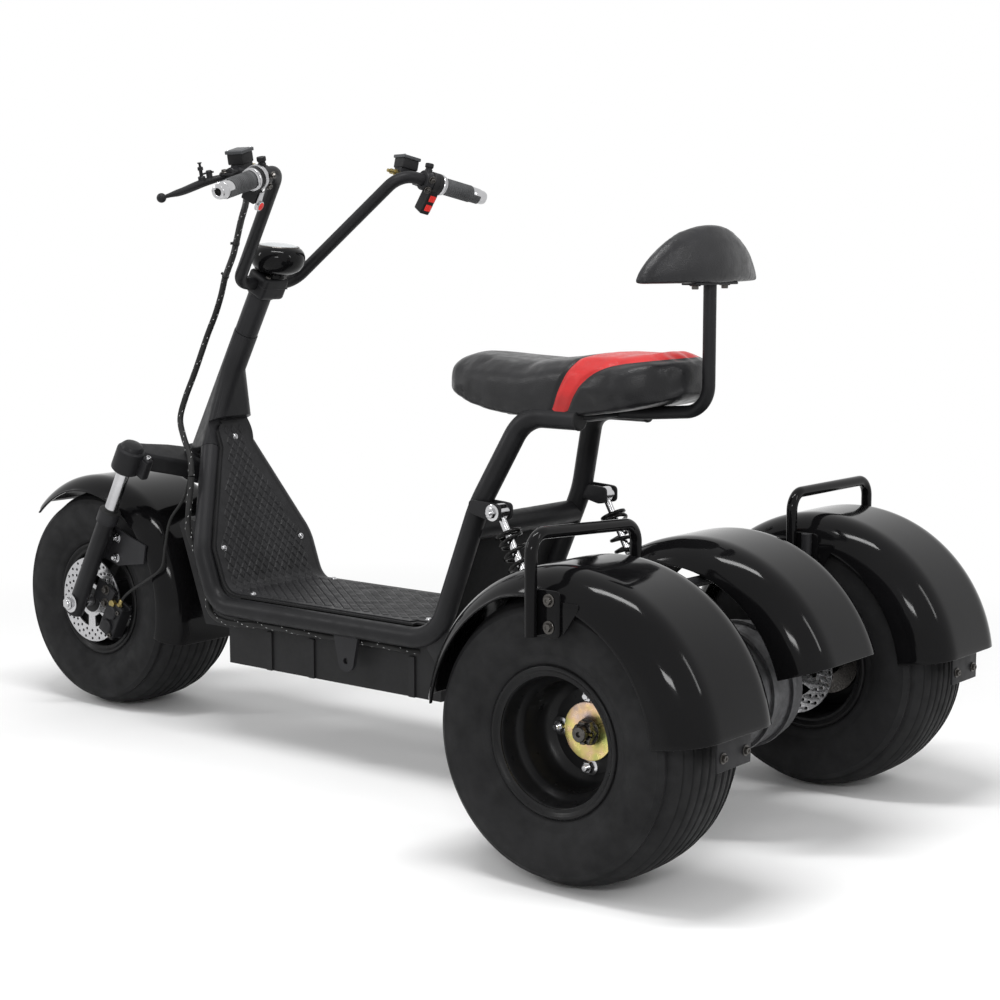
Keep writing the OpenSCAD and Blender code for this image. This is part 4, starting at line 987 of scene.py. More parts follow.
# Reservoirs: square cups, each with an overhanging lid and two screws
cups, lids, lid_screws = Mesh(), Mesh(), Mesh()
for side in (1, -1):
    seat_at = perch_place(side) @ shift(CYL_X + 1, -17, CYL_Z + 11.3)
    cups.block((32, 38, 20), seat_at @ shift(0, 0, 10), 3)
    lids.block((36, 42, 6.4), seat_at @ shift(0, 0, 22.6), 1.6)
    lids.block((26, 30, 1.2), seat_at @ shift(0, 0, 25.6), 0.5)
    for x, y in ((-13.6, -16.6), (13.6, 16.6)):
        socket_screw(lid_screws, seat_at @ shift(x, y, 25.4), 2.6, 1.8)
lids.piece("reservoir_lids", moulded("lid_grey", (0.05, 0.052, 0.055), 0.4), "steering", "plastic_black")
cups.piece("reservoir_cups", PLASTIC, "steering", "plastic_black", ["fluid_reservoirs"])
lid_screws.piece("reservoir_screws", STEEL, "steering", "steel")

# Switch pods: split clamp on the bar with a housing below; red buttons, and a plated bracket on the left
pods, buttons, bracket = Mesh(), Mesh(), Mesh()
for side in (1, -1):
    pod = bar_place(POD_AT, side)
    pods.lathe(mm((12.2, 0), (19.6, 0), (21, 1.4), (21, 10.4), (20.4, 10.8), (20.4, 11.2), (21, 11.6), (21, 20.6),
                  (19.6, 22), (12.2, 22)), pod @ ALONG_Y, 44, closed=True)
    deep = 52 if side < 0 else 34
    pods.block((28, 21, deep), pod @ shift(-2, 11, -10 - deep / 2), 3.4, 4)
    for z in (12, -12):
        socket_screw(lid_screws, pod @ shift(-20.4, 11, z) @ REARWARD, 2.4, 1.2)
right_pod = bar_place(POD_AT, -1)
for z in (-27, -47):
    buttons.block((4, 14, 13), right_pod @ shift(-16.4, 12, z), 1.6)
    pods.block((2, 17, 16.5), right_pod @ shift(-15.6, 12, z), 0.8)
left_pod = bar_place(POD_AT, 1)
bracket.lathe(mm((21.2, 3), (23, 3), (23.4, 4), (23.4, 12), (23, 13), (21.2, 13)), left_pod @ ALONG_Y, 44, closed=True)
bracket.plate([(-6, -20), (7, -20), (9, -44)] + arc(0, -46, 10, 0, -180, 14) + [(-9, -44)], 3,
              left_pod @ shift(-17, 8, 0) @ REARWARD @ Matrix.Rotation(-math.pi / 2, 4, "Z"))
button_at = left_pod @ shift(-20, 8, -46) @ REARWARD
bracket.lathe(mm((7.6, 0), (9.4, 0), (9.4, 4.4), (8.8, 5), (7.6, 5)), button_at, 32, closed=True)
buttons.lathe(mm((0, 0), (7.4, 0), (7.4, 5.2), (6.4, 6.6), (3, 7.4), (0, 7.6)), button_at, 28)
pods.piece("switch_housings", PLASTIC, "steering", "plastic_black", ["switch_pods"])
buttons.piece("switch_buttons", RED_BUTTON, "steering", "plastic_black")
bracket.piece("switch_bracket", STEEL, "steering", "steel")

# Instrument: a glossy rounded housing on a foot, a dark ring and a pale domed cover
dial = stem(-10, 0, 837) @ Matrix.Rotation(RAKE - math.radians(6), 4, "Y")
Mesh().lathe(mm((0, -41), (15.4, -41), (16.4, -40), (16.4, -34), (22, -31.6), (34, -28.4), (44, -22), (50.4, -12.6),
                (53, -2), (52.6, 6), (50, 13), (45.4, 18.6),
                (40.4, 21.6), (38.4, 22), (0, 22)), dial, 80).piece("instrument_bowl", FENDER, "steering",
                        "fender_gloss", ["instrument"], 40)
Mesh().lathe(mm((36.4, 21), (40.6, 21), (40.8, 22.2), (39.8, 23.4), (37.6, 23.8), (36.4, 22.8)), dial, 80,
             closed=True).piece(
    "instrument_bezel", DARK_STEEL, "steering", "steel")
dome = [(37.4 * math.cos(math.radians(t)), 21.8 + 7 * math.sin(math.radians(t))) for t in range(0, 91, 6)]
Mesh().lathe(mm((0, 21.4), (37.4, 21.4), *dome[:-1], (0, 28.8)), dial, 80).piece(
    "instrument_cover", gloss_shell("dial_cover", (0.5, 0.52, 0.53)), "steering", "plastic_black")

# Bar clamp: a rounded block over a collar, four screws in its cap
clamp = stem(-6, 0, 777)
clamps, clamp_screws = Mesh(), Mesh()
clamps.block((54, 64, 46), clamp, 10, 5)
clamps.block((55, 64.6, 1.6), clamp @ shift(0, 0, 3), 0.5, 1)
clamps.lathe(mm((0, 750), (25, 750), (27, 752), (27, 759), (25, 762), (0, 762)), STEER_FRAME, 48)
for x in (-17, 17):
    for y in (-21, 21):
        socket_screw(clamp_screws, clamp @ shift(x, y, 22.4), 5, 4)
clamps.piece("bar_clamp_block", FRAME_BLACK, "steering", "frame_black", ["bar_clamp"], 50)
clamp_screws.piece("bar_clamp_screws", DARK_STEEL, "steering", "steel")


# Fork: rounded crown with pinch clamps, seals, axle nuts and the bolts of the fender's tabs
FORK_X, FORK_Y = 48, 145
crown_half = [(38, 0), (43, 18), (54, 48), (64, 95), (73, 128)] + arc(FORK_X, FORK_Y, 29, -35, 218, 22) + [(10, 108),
        (-8, 70), (-25, 40), (-34, 14)]
crown_line = crown_half + [(x, -y) for x, y in reversed(crown_half[1:])]
crown = Mesh().plate(crown_line, 38, stem(0, 0, 338), 8, 5)
crown.lathe(mm((0, 326), (28, 326), (33, 332), (33, 384.4), (0, 384.4)), STEER_FRAME, 48)
fork_bolts, seals = Mesh(), Mesh()
for side in (1, -1):
    crown.lathe(mm((13.6, 332), (25, 332), (28.4, 335), (29, 338), (29, 378), (28.4, 381), (25, 384.4),
                   (13.6, 384.4)), stem(FORK_X, side * FORK_Y, -8), 48, closed=True)
    crown.lathe(mm((0, 366), (24, 366), (25, 372), (23, 380), (19, 385), (12, 387.4), (0, 388)),
                stem(FORK_X, side * FORK_Y, 0), 40)
    crown.block((26, 18, 46), stem(16, side * 128, 349), 7, 5)
    crown.block((22, 2.6, 36), stem(12, side * 139, 349), 1.1)
    socket_screw(fork_bolts, stem(14, side * 128, 371), 5.4, 5)
    leg = stem(FORK_X, side * FORK_Y, 0)
    seals.lathe(mm((13.6, 221), (20.4, 221), (21.4, 223), (21.4, 227.4), (19.6, 229), (16.4, 229.6), (15, 233.4),
                   (13.6, 233.6)), leg, 48, closed=True)
    seals.lathe(mm((18, -24), (17.4, -26), (14, -27.4), (0, -27.4), (0, -23)), leg, 40)
    nut = stem(FORK_X, side * 163, 0) @ Matrix.Rotation(-side * math.pi / 2, 4, "X")
    fork_bolts.lathe(mm((0, 0), (15, 0), (15.6, 0.6), (15.6, 2), (15, 2.6), (0, 2.6)), nut, 36)
    fork_bolts.hex_head(nut @ shift(0, 0, 2), 23, 10.4)
    fork_bolts.lathe(mm((0, 10), (7.5, 10), (7.5, 14.6), (6.6, 15.6), (0, 15.6)), nut, 28)
    for x, z in ((26, 172), (10, 134)):
        head = stem(x, side * 122.4, z) @ Matrix.Rotation(-side * math.pi / 2, 4, "X")
        fork_bolts.hex_head(head, 12, 7)
        fork_bolts.lathe(mm((0, 6.8), (4, 6.8), (4, 11), (3.4, 11.6), (0, 11.6)), head, 20)
crown.piece("fork_crown_forged", FRAME_BLACK, "steering", "frame_black", ["fork_crown"])
fork_bolts.piece("fork_bolts", CHROME, "steering", "chrome")
seals.piece("fork_seals", CABLE, "steering", "plastic_black")


# Brake discs: rows of small holes round the band, windows nearer the hub
def disc_lines(r, bore, rows, windows, w_in, w_out, w_turn):
    lines = [ring_points(0, 0, r, 96), ring_points(0, 0, bore, 48)]
    for row, (radius, count) in enumerate(rows):
        for k in range(count):
            angle = 2 * math.pi * (k + 0.5 * (row % 2)) / count
            lines.append(ring_points(radius * math.cos(angle), radius * math.sin(angle), 2.9, 12))
    for k in range(windows):
        mid = 360 * k / windows
        lines.append(arc(0, 0, w_out, mid - w_turn, mid + w_turn, 8) + arc(0, 0, w_in, mid + w_turn * 0.72,
                mid - w_turn * 0.72, 6))
    return lines


front_lines = disc_lines(88, 26.2, ((65, 24), (73.5, 24), (82, 24)), 6, 35, 57, 19)
perforated(Mesh(), front_lines, 4, wheel_place(FRONT_AXLE, 1) @ shift(0, 0, 108)).piece(
    "front_disc_drilled", STEEL, "front_wheel", "steel", ["front_disc"])
rear_lines = disc_lines(81, 12.7, ((60, 22), (68, 22), (76, 22)), 6, 36, 52, 19)
for name in ("rear_left", "rear_right"):
    centre, body, side = WHEELS[name]
    perforated(Mesh(), rear_lines, 4, wheel_place(centre, side) @ shift(0, 0, -137)).piece(
        f"{name}_disc_drilled", STEEL, body, "steel", [f"{name}_disc"])

# Front caliper: two rounded halves over the disc, pistons, pins and a banjo
calipers, pins, banjo = Mesh(), Mesh(), Mesh()
caliper = stem(-8, 0, 9)
calipers.block((46, 8, 76), caliper @ shift(-25, 100.8, 0), 3)
calipers.block((46, 11, 76), caliper @ shift(-25, 121, 0), 4.4, 4)
calipers.block((13, 30, 70), caliper @ shift(-41.6, 112, 0), 4, 4)
for z in (-17, 17):
    calipers.lathe(mm((0, 0), (15, 0), (15, 6), (13, 8.4), (8, 9), (0, 9)), caliper @ shift(-24, 125, z) @ ALONG_Y, 32)
calipers.block((54, 8, 44), stem(8, 120, 43), 2.4)
for x, z in ((-4, 30), (6, 56)):
    pins.hex_head(stem(x, 124, z) @ ALONG_Y, 12, 7)
for x, z in ((-42, -28), (-42, 28)):
    socket_screw(pins, caliper @ shift(x, 126.4, z) @ ALONG_Y, 4.6, 5)
banjo.lathe(mm((0, 0), (6.6, 0), (6.6, 5), (0, 5)), stem(-40, 119.6, 47), 6)
banjo.lathe(mm((0, 4.6), (4.8, 4.6), (4.8, 14), (3.6, 15), (0, 15)), stem(-40, 119.6, 47), 24)
banjo.lathe(mm((0, -2), (7.6, -2), (7.6, 6), (6.6, 7), (0, 7)), stem(-26, 124, 44) @ ALONG_Y, 28)
calipers.piece("front_caliper_cast", FRAME_BLACK, "steering", "frame_black", ["front_caliper"])
pins.piece("front_caliper_bolts", DARK_STEEL, "steering", "steel")
banjo.piece("front_banjo", BRASS, "steering", "zinc_gold")

# Rear calipers
rear_pads, rear_pins = Mesh(), Mesh()
for side in (1, -1):
    hub = mirror(side) @ Matrix.Translation(at(0, 229.5, 228.5)) @ Matrix.Rotation(math.radians(-40), 4, "Y")
    rear_pads.block((46, 8.4, 68), hub @ shift(81, -9.6, 0), 3)
    rear_pads.block((46, 10.4, 68), hub @ shift(81, 14.6, 0), 4, 4)
    rear_pads.block((9, 33, 62), hub @ shift(100, 3, 0), 3)
    rear_pads.block((62, 7.6, 32), hub @ shift(50, -10, 0), 2)
    for z in (-16, 16):
        rear_pads.lathe(mm((0, 0), (13, 0), (13, 5), (11, 7), (0, 7)), hub @ shift(79, -13.6, z) @ UPRIGHT, 28)
        rear_pins.hex_head(hub @ shift(58, -13.8, z * 0.6) @ UPRIGHT, 10, 6)
rear_pads.piece("rear_caliper_pair", FRAME_BLACK, "frame", "frame_black", ["rear_calipers"])
rear_pins.piece("rear_caliper_bolts", STEEL, "frame", "steel")

# Rear hubs: dark sleeve and flange behind, zinc plate and castle nut in front
for name in ("rear_left", "rear_right"):
    centre, body, side = WHEELS[name]
    place = wheel_place(centre, side)
    Mesh().lathe(mm((0, -190), (12.5, -190), (12.5, -135), (29, -135), (30, -134), (30, -26), (34, -19), (67, -18.2),
                    (68, -17), (68, -12.2), (67, -11.3),
                    (0, -11.3)), place, 64).piece(f"{name}_hub_sleeve", DARK_STEEL, body, "steel")
    Mesh().lathe(mm((0, -11), (26, -11), (26, -5.8), (45.4, -5.8), (46, -5.2), (46, -0.8), (45.2, 0), (19, 0),
                    (18, -0.6), (0, -0.6)), place, 80).piece(
        f"{name}_hub_plate", ZINC, body, "zinc_gold", [f"{name}_hub"])
    nut = Mesh().lathe(mm((0, -0.6), (20, -0.6), (20.6, 0), (20.6, 1.8), (20, 2.4), (0, 2.4)), place, 40)
    nut.lathe(mm((0, 2.2), (19.4, 2.2), (19.4, 10.6), (18.4, 11.6), (12.6, 11.6), (0, 11.6)), place, 6)
    for k in range(6):
        nut.block((4.4, 8.6, 6.4), place @ Matrix.Rotation(math.pi * (k + 0.5) / 3, 4, "Z") @ shift(15.2, 0, 13), 0.8)
    nut.lathe(mm((0, 2), (12.5, 2), (12.5, 24.6), (11.2, 26), (4.4, 26), (2.4, 22.4), (0, 22.4)), place, 40)
    nut.piece(f"{name}_castle_nut", DARK_STEEL, body, "steel")
    pin = Mesh()
    for lift in (-0.9, 0.9):
        pin.tube([place @ Vector(p) for p in mm((-17, lift, 14.6), (0, lift, 14.6), (17, lift, 14.6),
                                                (20, lift * 2.4, 13), (20.4, lift * 3, 8))], 1.1 * MM, 10, (0, 0, 1))
    pin.piece(f"{name}_split_pin", BRASS, body, "zinc_gold")


# Footboard mat: one sheet over floor, bend and panel, with embossed rhombs
LEAN, BEND_TURN = math.radians(20), math.radians(70)
FLOOR_FRONT, FLOOR_Z, TUBE_MM = 1066, 268, 19
BOARD_Z, BOARD_BEND, BOARD_T = 287.3, 44.0, 4.0
TUBE_FACE = FLOOR_FRONT - TUBE_MM / math.cos(LEAN) - 0.3
BEND_X = TUBE_FACE - BOARD_BEND * math.tan(BEND_TURN / 2) + (BOARD_Z - FLOOR_Z) * math.tan(LEAN)
BOARD_REAR, PANEL_TOP = 528.0, 612.0
BEND_R = BOARD_BEND - BOARD_T
FLOOR_RUN = BEND_X - BOARD_REAR
BEND_RUN = BEND_R * BEND_TURN
BEND_END_Z = BOARD_Z + BOARD_T + BEND_R * (1 - math.cos(BEND_TURN))
PANEL_RUN = (PANEL_TOP - BEND_END_Z) / math.cos(LEAN)


def board_point(run, y, lift):
    """Point this far along the board's upper face and lifted off it, both given in millimetres."""
    if run <= FLOOR_RUN:
        return at(BOARD_REAR + run, y, BOARD_Z + BOARD_T + lift)
    if run <= FLOOR_RUN + BEND_RUN:
        turn = (run - FLOOR_RUN) / BEND_R
        r = BEND_R - lift
        return at(BEND_X + r * math.sin(turn), y, BOARD_Z + BOARD_T + BEND_R - r * math.cos(turn))
    up = run - FLOOR_RUN - BEND_RUN
    x = BEND_X + (BEND_R - lift) * math.sin(BEND_TURN) + up * math.cos(BEND_TURN)
    z = BOARD_Z + BOARD_T + BEND_R - (BEND_R - lift) * math.cos(BEND_TURN) + up * math.sin(BEND_TURN)
    return at(x, y, z)


def board_height(run):
    return board_point(run, 0, 0).z / MM


def mat_half(run, inset):
    """Half width of the mat at this run."""
    z = board_height(run)
    half = 130.0
    if run < 46:
        half = 114.0
    if z > 378:
        half = 130 - (130 - 44) * min((z - 378) / (562 - 378), 1)
    if z > 590:
        half = 22 + math.sqrt(max(22 ** 2 - (z - 590) ** 2, 0))
    return max(half - inset, 0.5)


MAT_RUN = FLOOR_RUN + BEND_RUN + PANEL_RUN
MAT_FACES, MAT_INSET, MAT_ACROSS = (0.2, 2.4), 6, 14
mat = Mesh()
runs = [6 + (MAT_RUN - 12) * k / 150 for k in range(151)]


def mat_point(run, j, lift):
    return board_point(run, mat_half(run, MAT_INSET) * (2 * j / MAT_ACROSS - 1), lift)


for lift in reversed(MAT_FACES):
    mat.add([mat_point(run, j, lift) for run in runs for j in range(MAT_ACROSS + 1)],
            grid_faces(len(runs), MAT_ACROSS + 1))
for j in (0, MAT_ACROSS):
    mat.add([mat_point(run, j, lift) for run in runs for lift in MAT_FACES], grid_faces(len(runs), 2))
for run in (runs[0], runs[-1]):
    mat.add([mat_point(run, j, lift) for j in range(MAT_ACROSS + 1) for lift in MAT_FACES],
            grid_faces(MAT_ACROSS + 1, 2))
PITCH_Y, PITCH_RUN = 19.0, 24.0
row = 0
run = 20.0
while run < MAT_RUN - 14:
    limit = min(mat_half(run - 10, 12), mat_half(run + 10, 12))
    offset = 0.5 * PITCH_Y * (row % 2)
    for k in range(-10, 11):
        y = k * PITCH_Y + offset
        if abs(y) + 8 > limit:
            continue
        base = [board_point(run + dr, y + dy, 2.3) for dr, dy in ((-11, 0), (0, 8), (11, 0), (0, -8))]
        top = [board_point(run + dr, y + dy, 3.7) for dr, dy in ((-7.6, 0), (0, 5.2), (7.6, 0), (0, -5.2))]
        mat.add(base + top, [[0, 1, 5, 4], [1, 2, 6, 5], [2, 3, 7, 6], [3, 0, 4, 7], [4, 5, 6, 7]])
    run += PITCH_RUN / 2
    row += 1
mat.piece("footboard_mat", MAT, "frame", "mat", (), 25)
screws = Mesh()
for run, y in ((MAT_RUN - 34, 0), (30, 96), (30, -96), (FLOOR_RUN - 30, 112), (FLOOR_RUN - 30, -112),
               (FLOOR_RUN + BEND_RUN + 60, 106), (FLOOR_RUN + BEND_RUN + 60, -106)):
    face = board_point(run, y, 3.2) - board_point(run, y, 2.2)
    screws_at = axes(board_point(run, y, 2.2), (0, 1, 0), face)
    screws.lathe(mm((0, 0), (6.6, 0), (6.6, 1), (5.4, 1.6), (5, 3), (3.6, 4.2), (2.4, 4.4), (2, 2.6), (0, 2.6)),
                 screws_at, 28)
screws.piece("footboard_screws", STEEL, "frame", "steel")


# Frame tubes: smooth bends, brackets with bolts for the shocks, lugs for the swing arm, plugged ends
SHOCK_TOP, SHOCK_LEAN, SHOCK_L = Vector((350, 152, 514)), math.radians(28), 230.0
SHOCK_LOW = SHOCK_TOP - SHOCK_L * Vector((math.sin(SHOCK_LEAN), 0, math.cos(SHOCK_LEAN)))
SEAT_TUBE_Z, SEAT_TUBE_END = 675.0, 222.0
TUBE_R = TUBE_MM * MM


def panel_x(z):
    return FLOOR_FRONT + (z - FLOOR_Z) * math.tan(LEAN)


TUBE_LINE = [(panel_x(560), 48, 560), (panel_x(372), 138, 372), (FLOOR_FRONT, 138, FLOOR_Z), (503, 138, FLOOR_Z),
             (398, 147, 520), (336, 100, SEAT_TUBE_Z), (SEAT_TUBE_END, 100, SEAT_TUBE_Z)]
TUBE_BENDS = [90 * MM, 60 * MM, 90 * MM, 160 * MM, 58 * MM]


def round_outline(points, r, steps=6):
    """A polygon with its corners rounded, millimetres."""
    made = []
    count = len(points)
    for i in range(count):
        a, b, c = (Vector(points[k % count]).to_3d() for k in (i - 1, i, i + 1))
        u, v = (a - b).normalized(), (c - b).normalized()
        reach = min(r / math.tan(u.angle(v) / 2), 0.48 * (a - b).length, 0.48 * (c - b).length)
        for k in range(steps + 1):
            t = k / steps
            spot = (1 - t) ** 2 * (b + u * reach) + 2 * t * (1 - t) * b + t ** 2 * (b + v * reach)
            made.append((spot.x, spot.y))
    return made


def side_plate(mesh, points, r, y, thick, side):
    """Upright plate whose outline is in X and Z, counted from the rear axle, outer face at y."""
    place = mirror(side) @ Matrix.Translation(at(0, y, 0)) @ UPRIGHT
    return mesh.plate(round_outline(points, r), thick, place)


def out_bolt(mesh, x, y, z, across, tall, side):
    head = axes(at(x, side * y, z), (1, 0, 0), (0, side, 0))
    mesh.hex_head(head, across, tall)
    mesh.lathe(mm((0, tall - 0.4), (across * 0.3, tall - 0.4), (across * 0.3, tall + 4), (across * 0.22, tall + 5),
                  (0, tall + 5)), head, 18)


frame_bolts, plugs = Mesh(), Mesh()
for name, side in SIDES:
    tube = Mesh().tube(bent_path([at(x, side * y, z) for x, y, z in TUBE_LINE], TUBE_BENDS, 16), TUBE_R, 32, (0, 1, 0))
    side_plate(tube, [(429, 206), (482, 206), (524, 252), (516, 290), (429, 286)], 16, 142, 8, side)
    for y in (170.4, 138.6):
        side_plate(tube, [(334, 500), (352, 498), (402, 510), (404, 533), (352, 530), (334, 528)], 12, y, 5, side)
    tube.piece(f"frame_tube_{name}_bent", FRAME_BLACK, "frame", "frame_black", [f"frame_tube_{name}"], 40)
    out_bolt(frame_bolts, SHOCK_TOP.x, 170.6, SHOCK_TOP.z, 17, 9, side)
    out_bolt(frame_bolts, SHOCK_LOW.x, 165.6, SHOCK_LOW.z, 17, 9, side)
    out_bolt(frame_bolts, 455, 142, 230, 24, 12, side)
    plugs.lathe(mm((0, -4), (16, -4), (16, 0), (19.4, 0), (19.8, 1), (19.4, 3.4), (17, 5), (0, 5.4)),
                axes(at(SEAT_TUBE_END, side * 100, SEAT_TUBE_Z), (0, 1, 0), (-1, 0, 0)), 36)
frame_bolts.piece("frame_bolts", CHROME, "frame", "chrome")
plugs.piece("tube_plugs", PLASTIC, "frame", "plastic_black")
rods = Mesh()
for x, half, z, r in (*((x, 136, FLOOR_Z, 12.5) for x in (600, 800, 1000)), (416, 143, 478, 21),
                      (262, 100, SEAT_TUBE_Z, 12.5)):
    rods.tube([at(x, -half, z), at(x, 0, z), at(x, half, z)], r * MM, 32, (0, 0, 1))
rods.piece("frame_cross_bars", FRAME_BLACK, "frame", "frame_black", ["frame_cross_tubes"], 40)

# Rear panel: a sheet between the two rear legs
up = Vector((-73, 0, 180)).normalized()
panel_at = axes(at(498, 0, 290), (0, 1, 0), Vector((0, 1, 0)).cross(up))
Mesh().plate(round_outline([(-126, 0), (126, 0), (134, 192), (-134, 192)], 4), 3, panel_at).piece(
    "rear_panel_sheet", PLASTIC, "frame", "plastic_black", ["rear_panel"])

# Springs: a fine helix whose ends lie flat
COILS, PER_COIL, FLAT_END = 7, 28, 0.06
COIL_R, COIL_LOW, COIL_RISE = 20.5, 47.8, 134.4
springs, shock_rods = Mesh(), Mesh()
for side in (1, -1):
    place = mirror(side) @ Matrix.Translation(at(*SHOCK_LOW)) @ Matrix.Rotation(SHOCK_LEAN, 4, "Y")
    helix = []
    for k in range(COILS * PER_COIL + 1):
        turn = 2 * math.pi * k / PER_COIL
        part = min(max((k / (COILS * PER_COIL) - FLAT_END) / (1 - 2 * FLAT_END), 0), 1)
        height = COIL_LOW + COIL_RISE * part
        helix.append(place @ Vector((COIL_R * MM * math.cos(turn), COIL_R * MM * math.sin(turn), height * MM)))
    springs.tube(helix, 3.5 * MM, 14, (0, 1, 0))
    for low in (38, 185.6):
        springs.lathe(mm((6.6, low), (22, low), (24, low + 1.4), (24, low + 5), (22.6, low + 6.2), (6.6, low + 6.2)),
                      place, 44, closed=True)
    shock_rods.lathe(mm((0, 4), (6.5, 4), (6.5, 226), (0, 226)), place, 28)
    shock_rods.lathe(mm((0, 10), (11, 10), (12.5, 12), (12.5, 37), (0, 37)), place, 32)
    for eye in (0, 230):
        shock_rods.lathe(mm((6.2, -13), (13, -13), (14, -12), (14, 12), (13, 13), (6.2, 13)),
                         place @ shift(0, 0, eye) @ ALONG_Y, 36, closed=True)
shock_rods.piece("shock_rod_pair", CHROME, "frame", "chrome", ["shock_absorbers"])
springs.piece("shock_spring_pair", SPRING, "frame", "spring_black", ["shock_springs"], 60)

# Seat carrier: a pan under the cushion, and the backrest's bent post with its plate and bolts
POST_PLATE_Z = 899.6
pan = Mesh().plate(round_outline([(205, -96), (392, -92), (392, 92), (205, 96)], 24), 7,
                   Matrix.Translation(at(0, 0, 674)), 2, 3)
pan.piece("seat_carrier", FRAME_BLACK, "frame", "frame_black", ["seat_pan"], 35)
post = Mesh().tube(bent_path([at(30, 0, 902), at(30, 0, 692), at(160, 0, 682), at(250, 0, 680)], [46 * MM, 60 * MM],
                             16), 11 * MM, 28, (0, 1, 0))
post.plate(round_outline([(12, -62), (48, -62), (48, 62), (12, 62)], 9), 4, Matrix.Translation(at(0, 0, POST_PLATE_Z)))
post.piece("backrest_post_bent", FRAME_BLACK, "frame", "frame_black", ["backrest_post"], 40)
back_bolts = Mesh()
for y in (-44, 44):
    back_bolts.hex_head(Matrix.Translation(at(30, y, POST_PLATE_Z)) @ Matrix.Rotation(math.pi, 4, "X"), 11, 7)
back_bolts.piece("backrest_bolts", DARK_STEEL, "frame", "steel")

# Grab rails: smooth hoops with a two-bolt foot on each fender tab, and the lamp plates behind
rail_bolts, tabs, lamp_plates = Mesh(), Mesh(), Mesh()
RAIL_X, RAIL_Z, RAIL_OUT = 8.0, 534.0, 132.8
for name, side in SIDES:
    middle = side * WHEEL_Y / MM
    lift = 14 if side > 0 else 0
    rail = Mesh().tube(bent_path([at(RAIL_X, middle + y, z) for y,
                                  z in ((-RAIL_OUT, 396), (-RAIL_OUT, RAIL_Z), (RAIL_OUT, RAIL_Z + lift),
                                        (RAIL_OUT, 396))], [30 * MM, 30 * MM], 14), 9.5 * MM, 24, (1, 0, 0))
    for half in (1, -1):
        face = middle + half * 119.2
        outward = Vector((0, half, 0))
        standing = mirror(-half) @ UPRIGHT
        rail.plate(round_outline([(-38, 396), (10, 396), (10, 466), (-38, 466)], 9), 4.2,
                   Matrix.Translation(at(0, face, 0)) @ standing)
        tabs.plate(round_outline([(-74, 450), (-42, 402), (0, 402), (20, 450)], 8), 3,
                   Matrix.Translation(at(0, face - half * 3.1, 0)) @ standing, 0.6)
        for z in (411, 451):
            rail_bolts.hex_head(axes(at(-18, face + half * 4.2, z), (1, 0, 0), outward), 12, 6)
    rail.piece(f"grab_rail_{name}_hoop", FENDER, "frame", "fender_gloss", [f"grab_rail_{name}"], 40)
    lamp_plates.block((4, 90, 76), Matrix.Translation(at(-260, middle, 254)), 1.2)
    lamp_plates.block((13, 90, 4), Matrix.Translation(at(-264.4, middle, 290)), 1.2)
    for y in (-30, 30):
        rail_bolts.hex_head(axes(at(-262, middle + y, 236), (0, 1, 0), (-1, 0, 0)), 10, 6)
lamp_plates.piece("lamp_plates", FRAME_BLACK, "frame", "frame_black", ["lamp_brackets"])
tabs.piece("fender_tabs", FENDER, "frame", "fender_gloss")
rail_bolts.piece("rail_bolts", DARK_STEEL, "frame", "steel")


# Fender frame: bent stays on the axle tube, a cross bar and two posts under the middle fender
stays = Mesh()
for side in (1, -1):
    stays.tube(bent_path([at(-22, side * y, z) for y, z in ((235.9, 466), (235.9, 372), (196, 334), (196, 228.5))],
                         [24 * MM, 24 * MM], 10), 9 * MM, 24, (1, 0, 0))
    stays.tube([at(-22, side * 44, 428), at(-22, side * 44, 460), at(-22, side * 44, 490.4)], 9 * MM, 24, (1, 0, 0))
stays.tube([at(-22, -236, 428), at(-22, 0, 428), at(-22, 236, 428)], 9 * MM, 24, (0, 0, 1))
stays.piece("fender_stays", FRAME_BLACK, "frame", "frame_black", ["fender_frame"], 40)


# Cables: a braided loom with pale tracer threads, ties, and the brake hose
ROUTE_STEPS = 8


def braid(mesh, flecks, path, r, pitch=13.0):
    mesh.tube(path, r * MM, 20)
    gone, k = 0.0, 0
    side = None
    for a, b in zip(path, path[1:]):
        along = (b - a)
        step = along.length / MM
        along.normalize()
        side = side or Vector((0.3, 1, 0.2)).cross(along)
        side = (side - side.dot(along) * along).normalized()
        gone += step
        while gone >= pitch:
            gone -= pitch
            k += 1
            for start in (0.0, math.pi):
                angle = start + k * 0.72
                out = math.cos(angle) * side + math.sin(angle) * along.cross(side)
                tilt = (along + 0.5 * along.cross(out)).normalized()
                flecks.block((3.4, 1.1, 0.6), axes(b + out * r * MM, tilt, out), 0.25, 1)
    return mesh


LOOM_UPPER = [(-100, 238, 1012), (-83, 215, 986), (-67, 195, 947), (-50, 170, 899), (-27, 140, 854), (-4, 115, 811),
              (14, 95, 778), (24, 78, 735), (36, 62, 685), (48, 50, 630), (50, 46, 560)]
LOOM_NECK = [(50, 46, 530), (44, 53, 488), (26, 66, 452), (-15, 82, 434), (-58, 95, 420), (-98, 115, 398)]
LOOM_FLOOR = [(1150, 132, 410), (1124, 127, 350), (1104, 131, 300), (1082, 140, 254), (1030, 146, 240), (938, 138, 243),
              (840, 134, 242), (790, 124, 240), (640, 122, 240), (600, 118, 238), (572, 104, 236)]
HOSE = [(-78, 104, 409), (-84, 103, 380), (-86, 102, 335), (-84, 114, 286), (-104, 124, 239), (-118, 128, 197),
        (-92, 128, 148), (-62, 124, 104), (-44, 120, 72), (-40, 119.6, 50)]
upper_path = smooth_path([steer(*p) for p in LOOM_UPPER + LOOM_NECK], ROUTE_STEPS)
lower_path = smooth_path([steer(*LOOM_NECK[-2]), steer(*LOOM_NECK[-1])] + [at(*p) for p in LOOM_FLOOR],
                         ROUTE_STEPS)[ROUTE_STEPS:]
TRACER = moulded("tracer_thread", (0.38, 0.38, 0.38), 0.6)
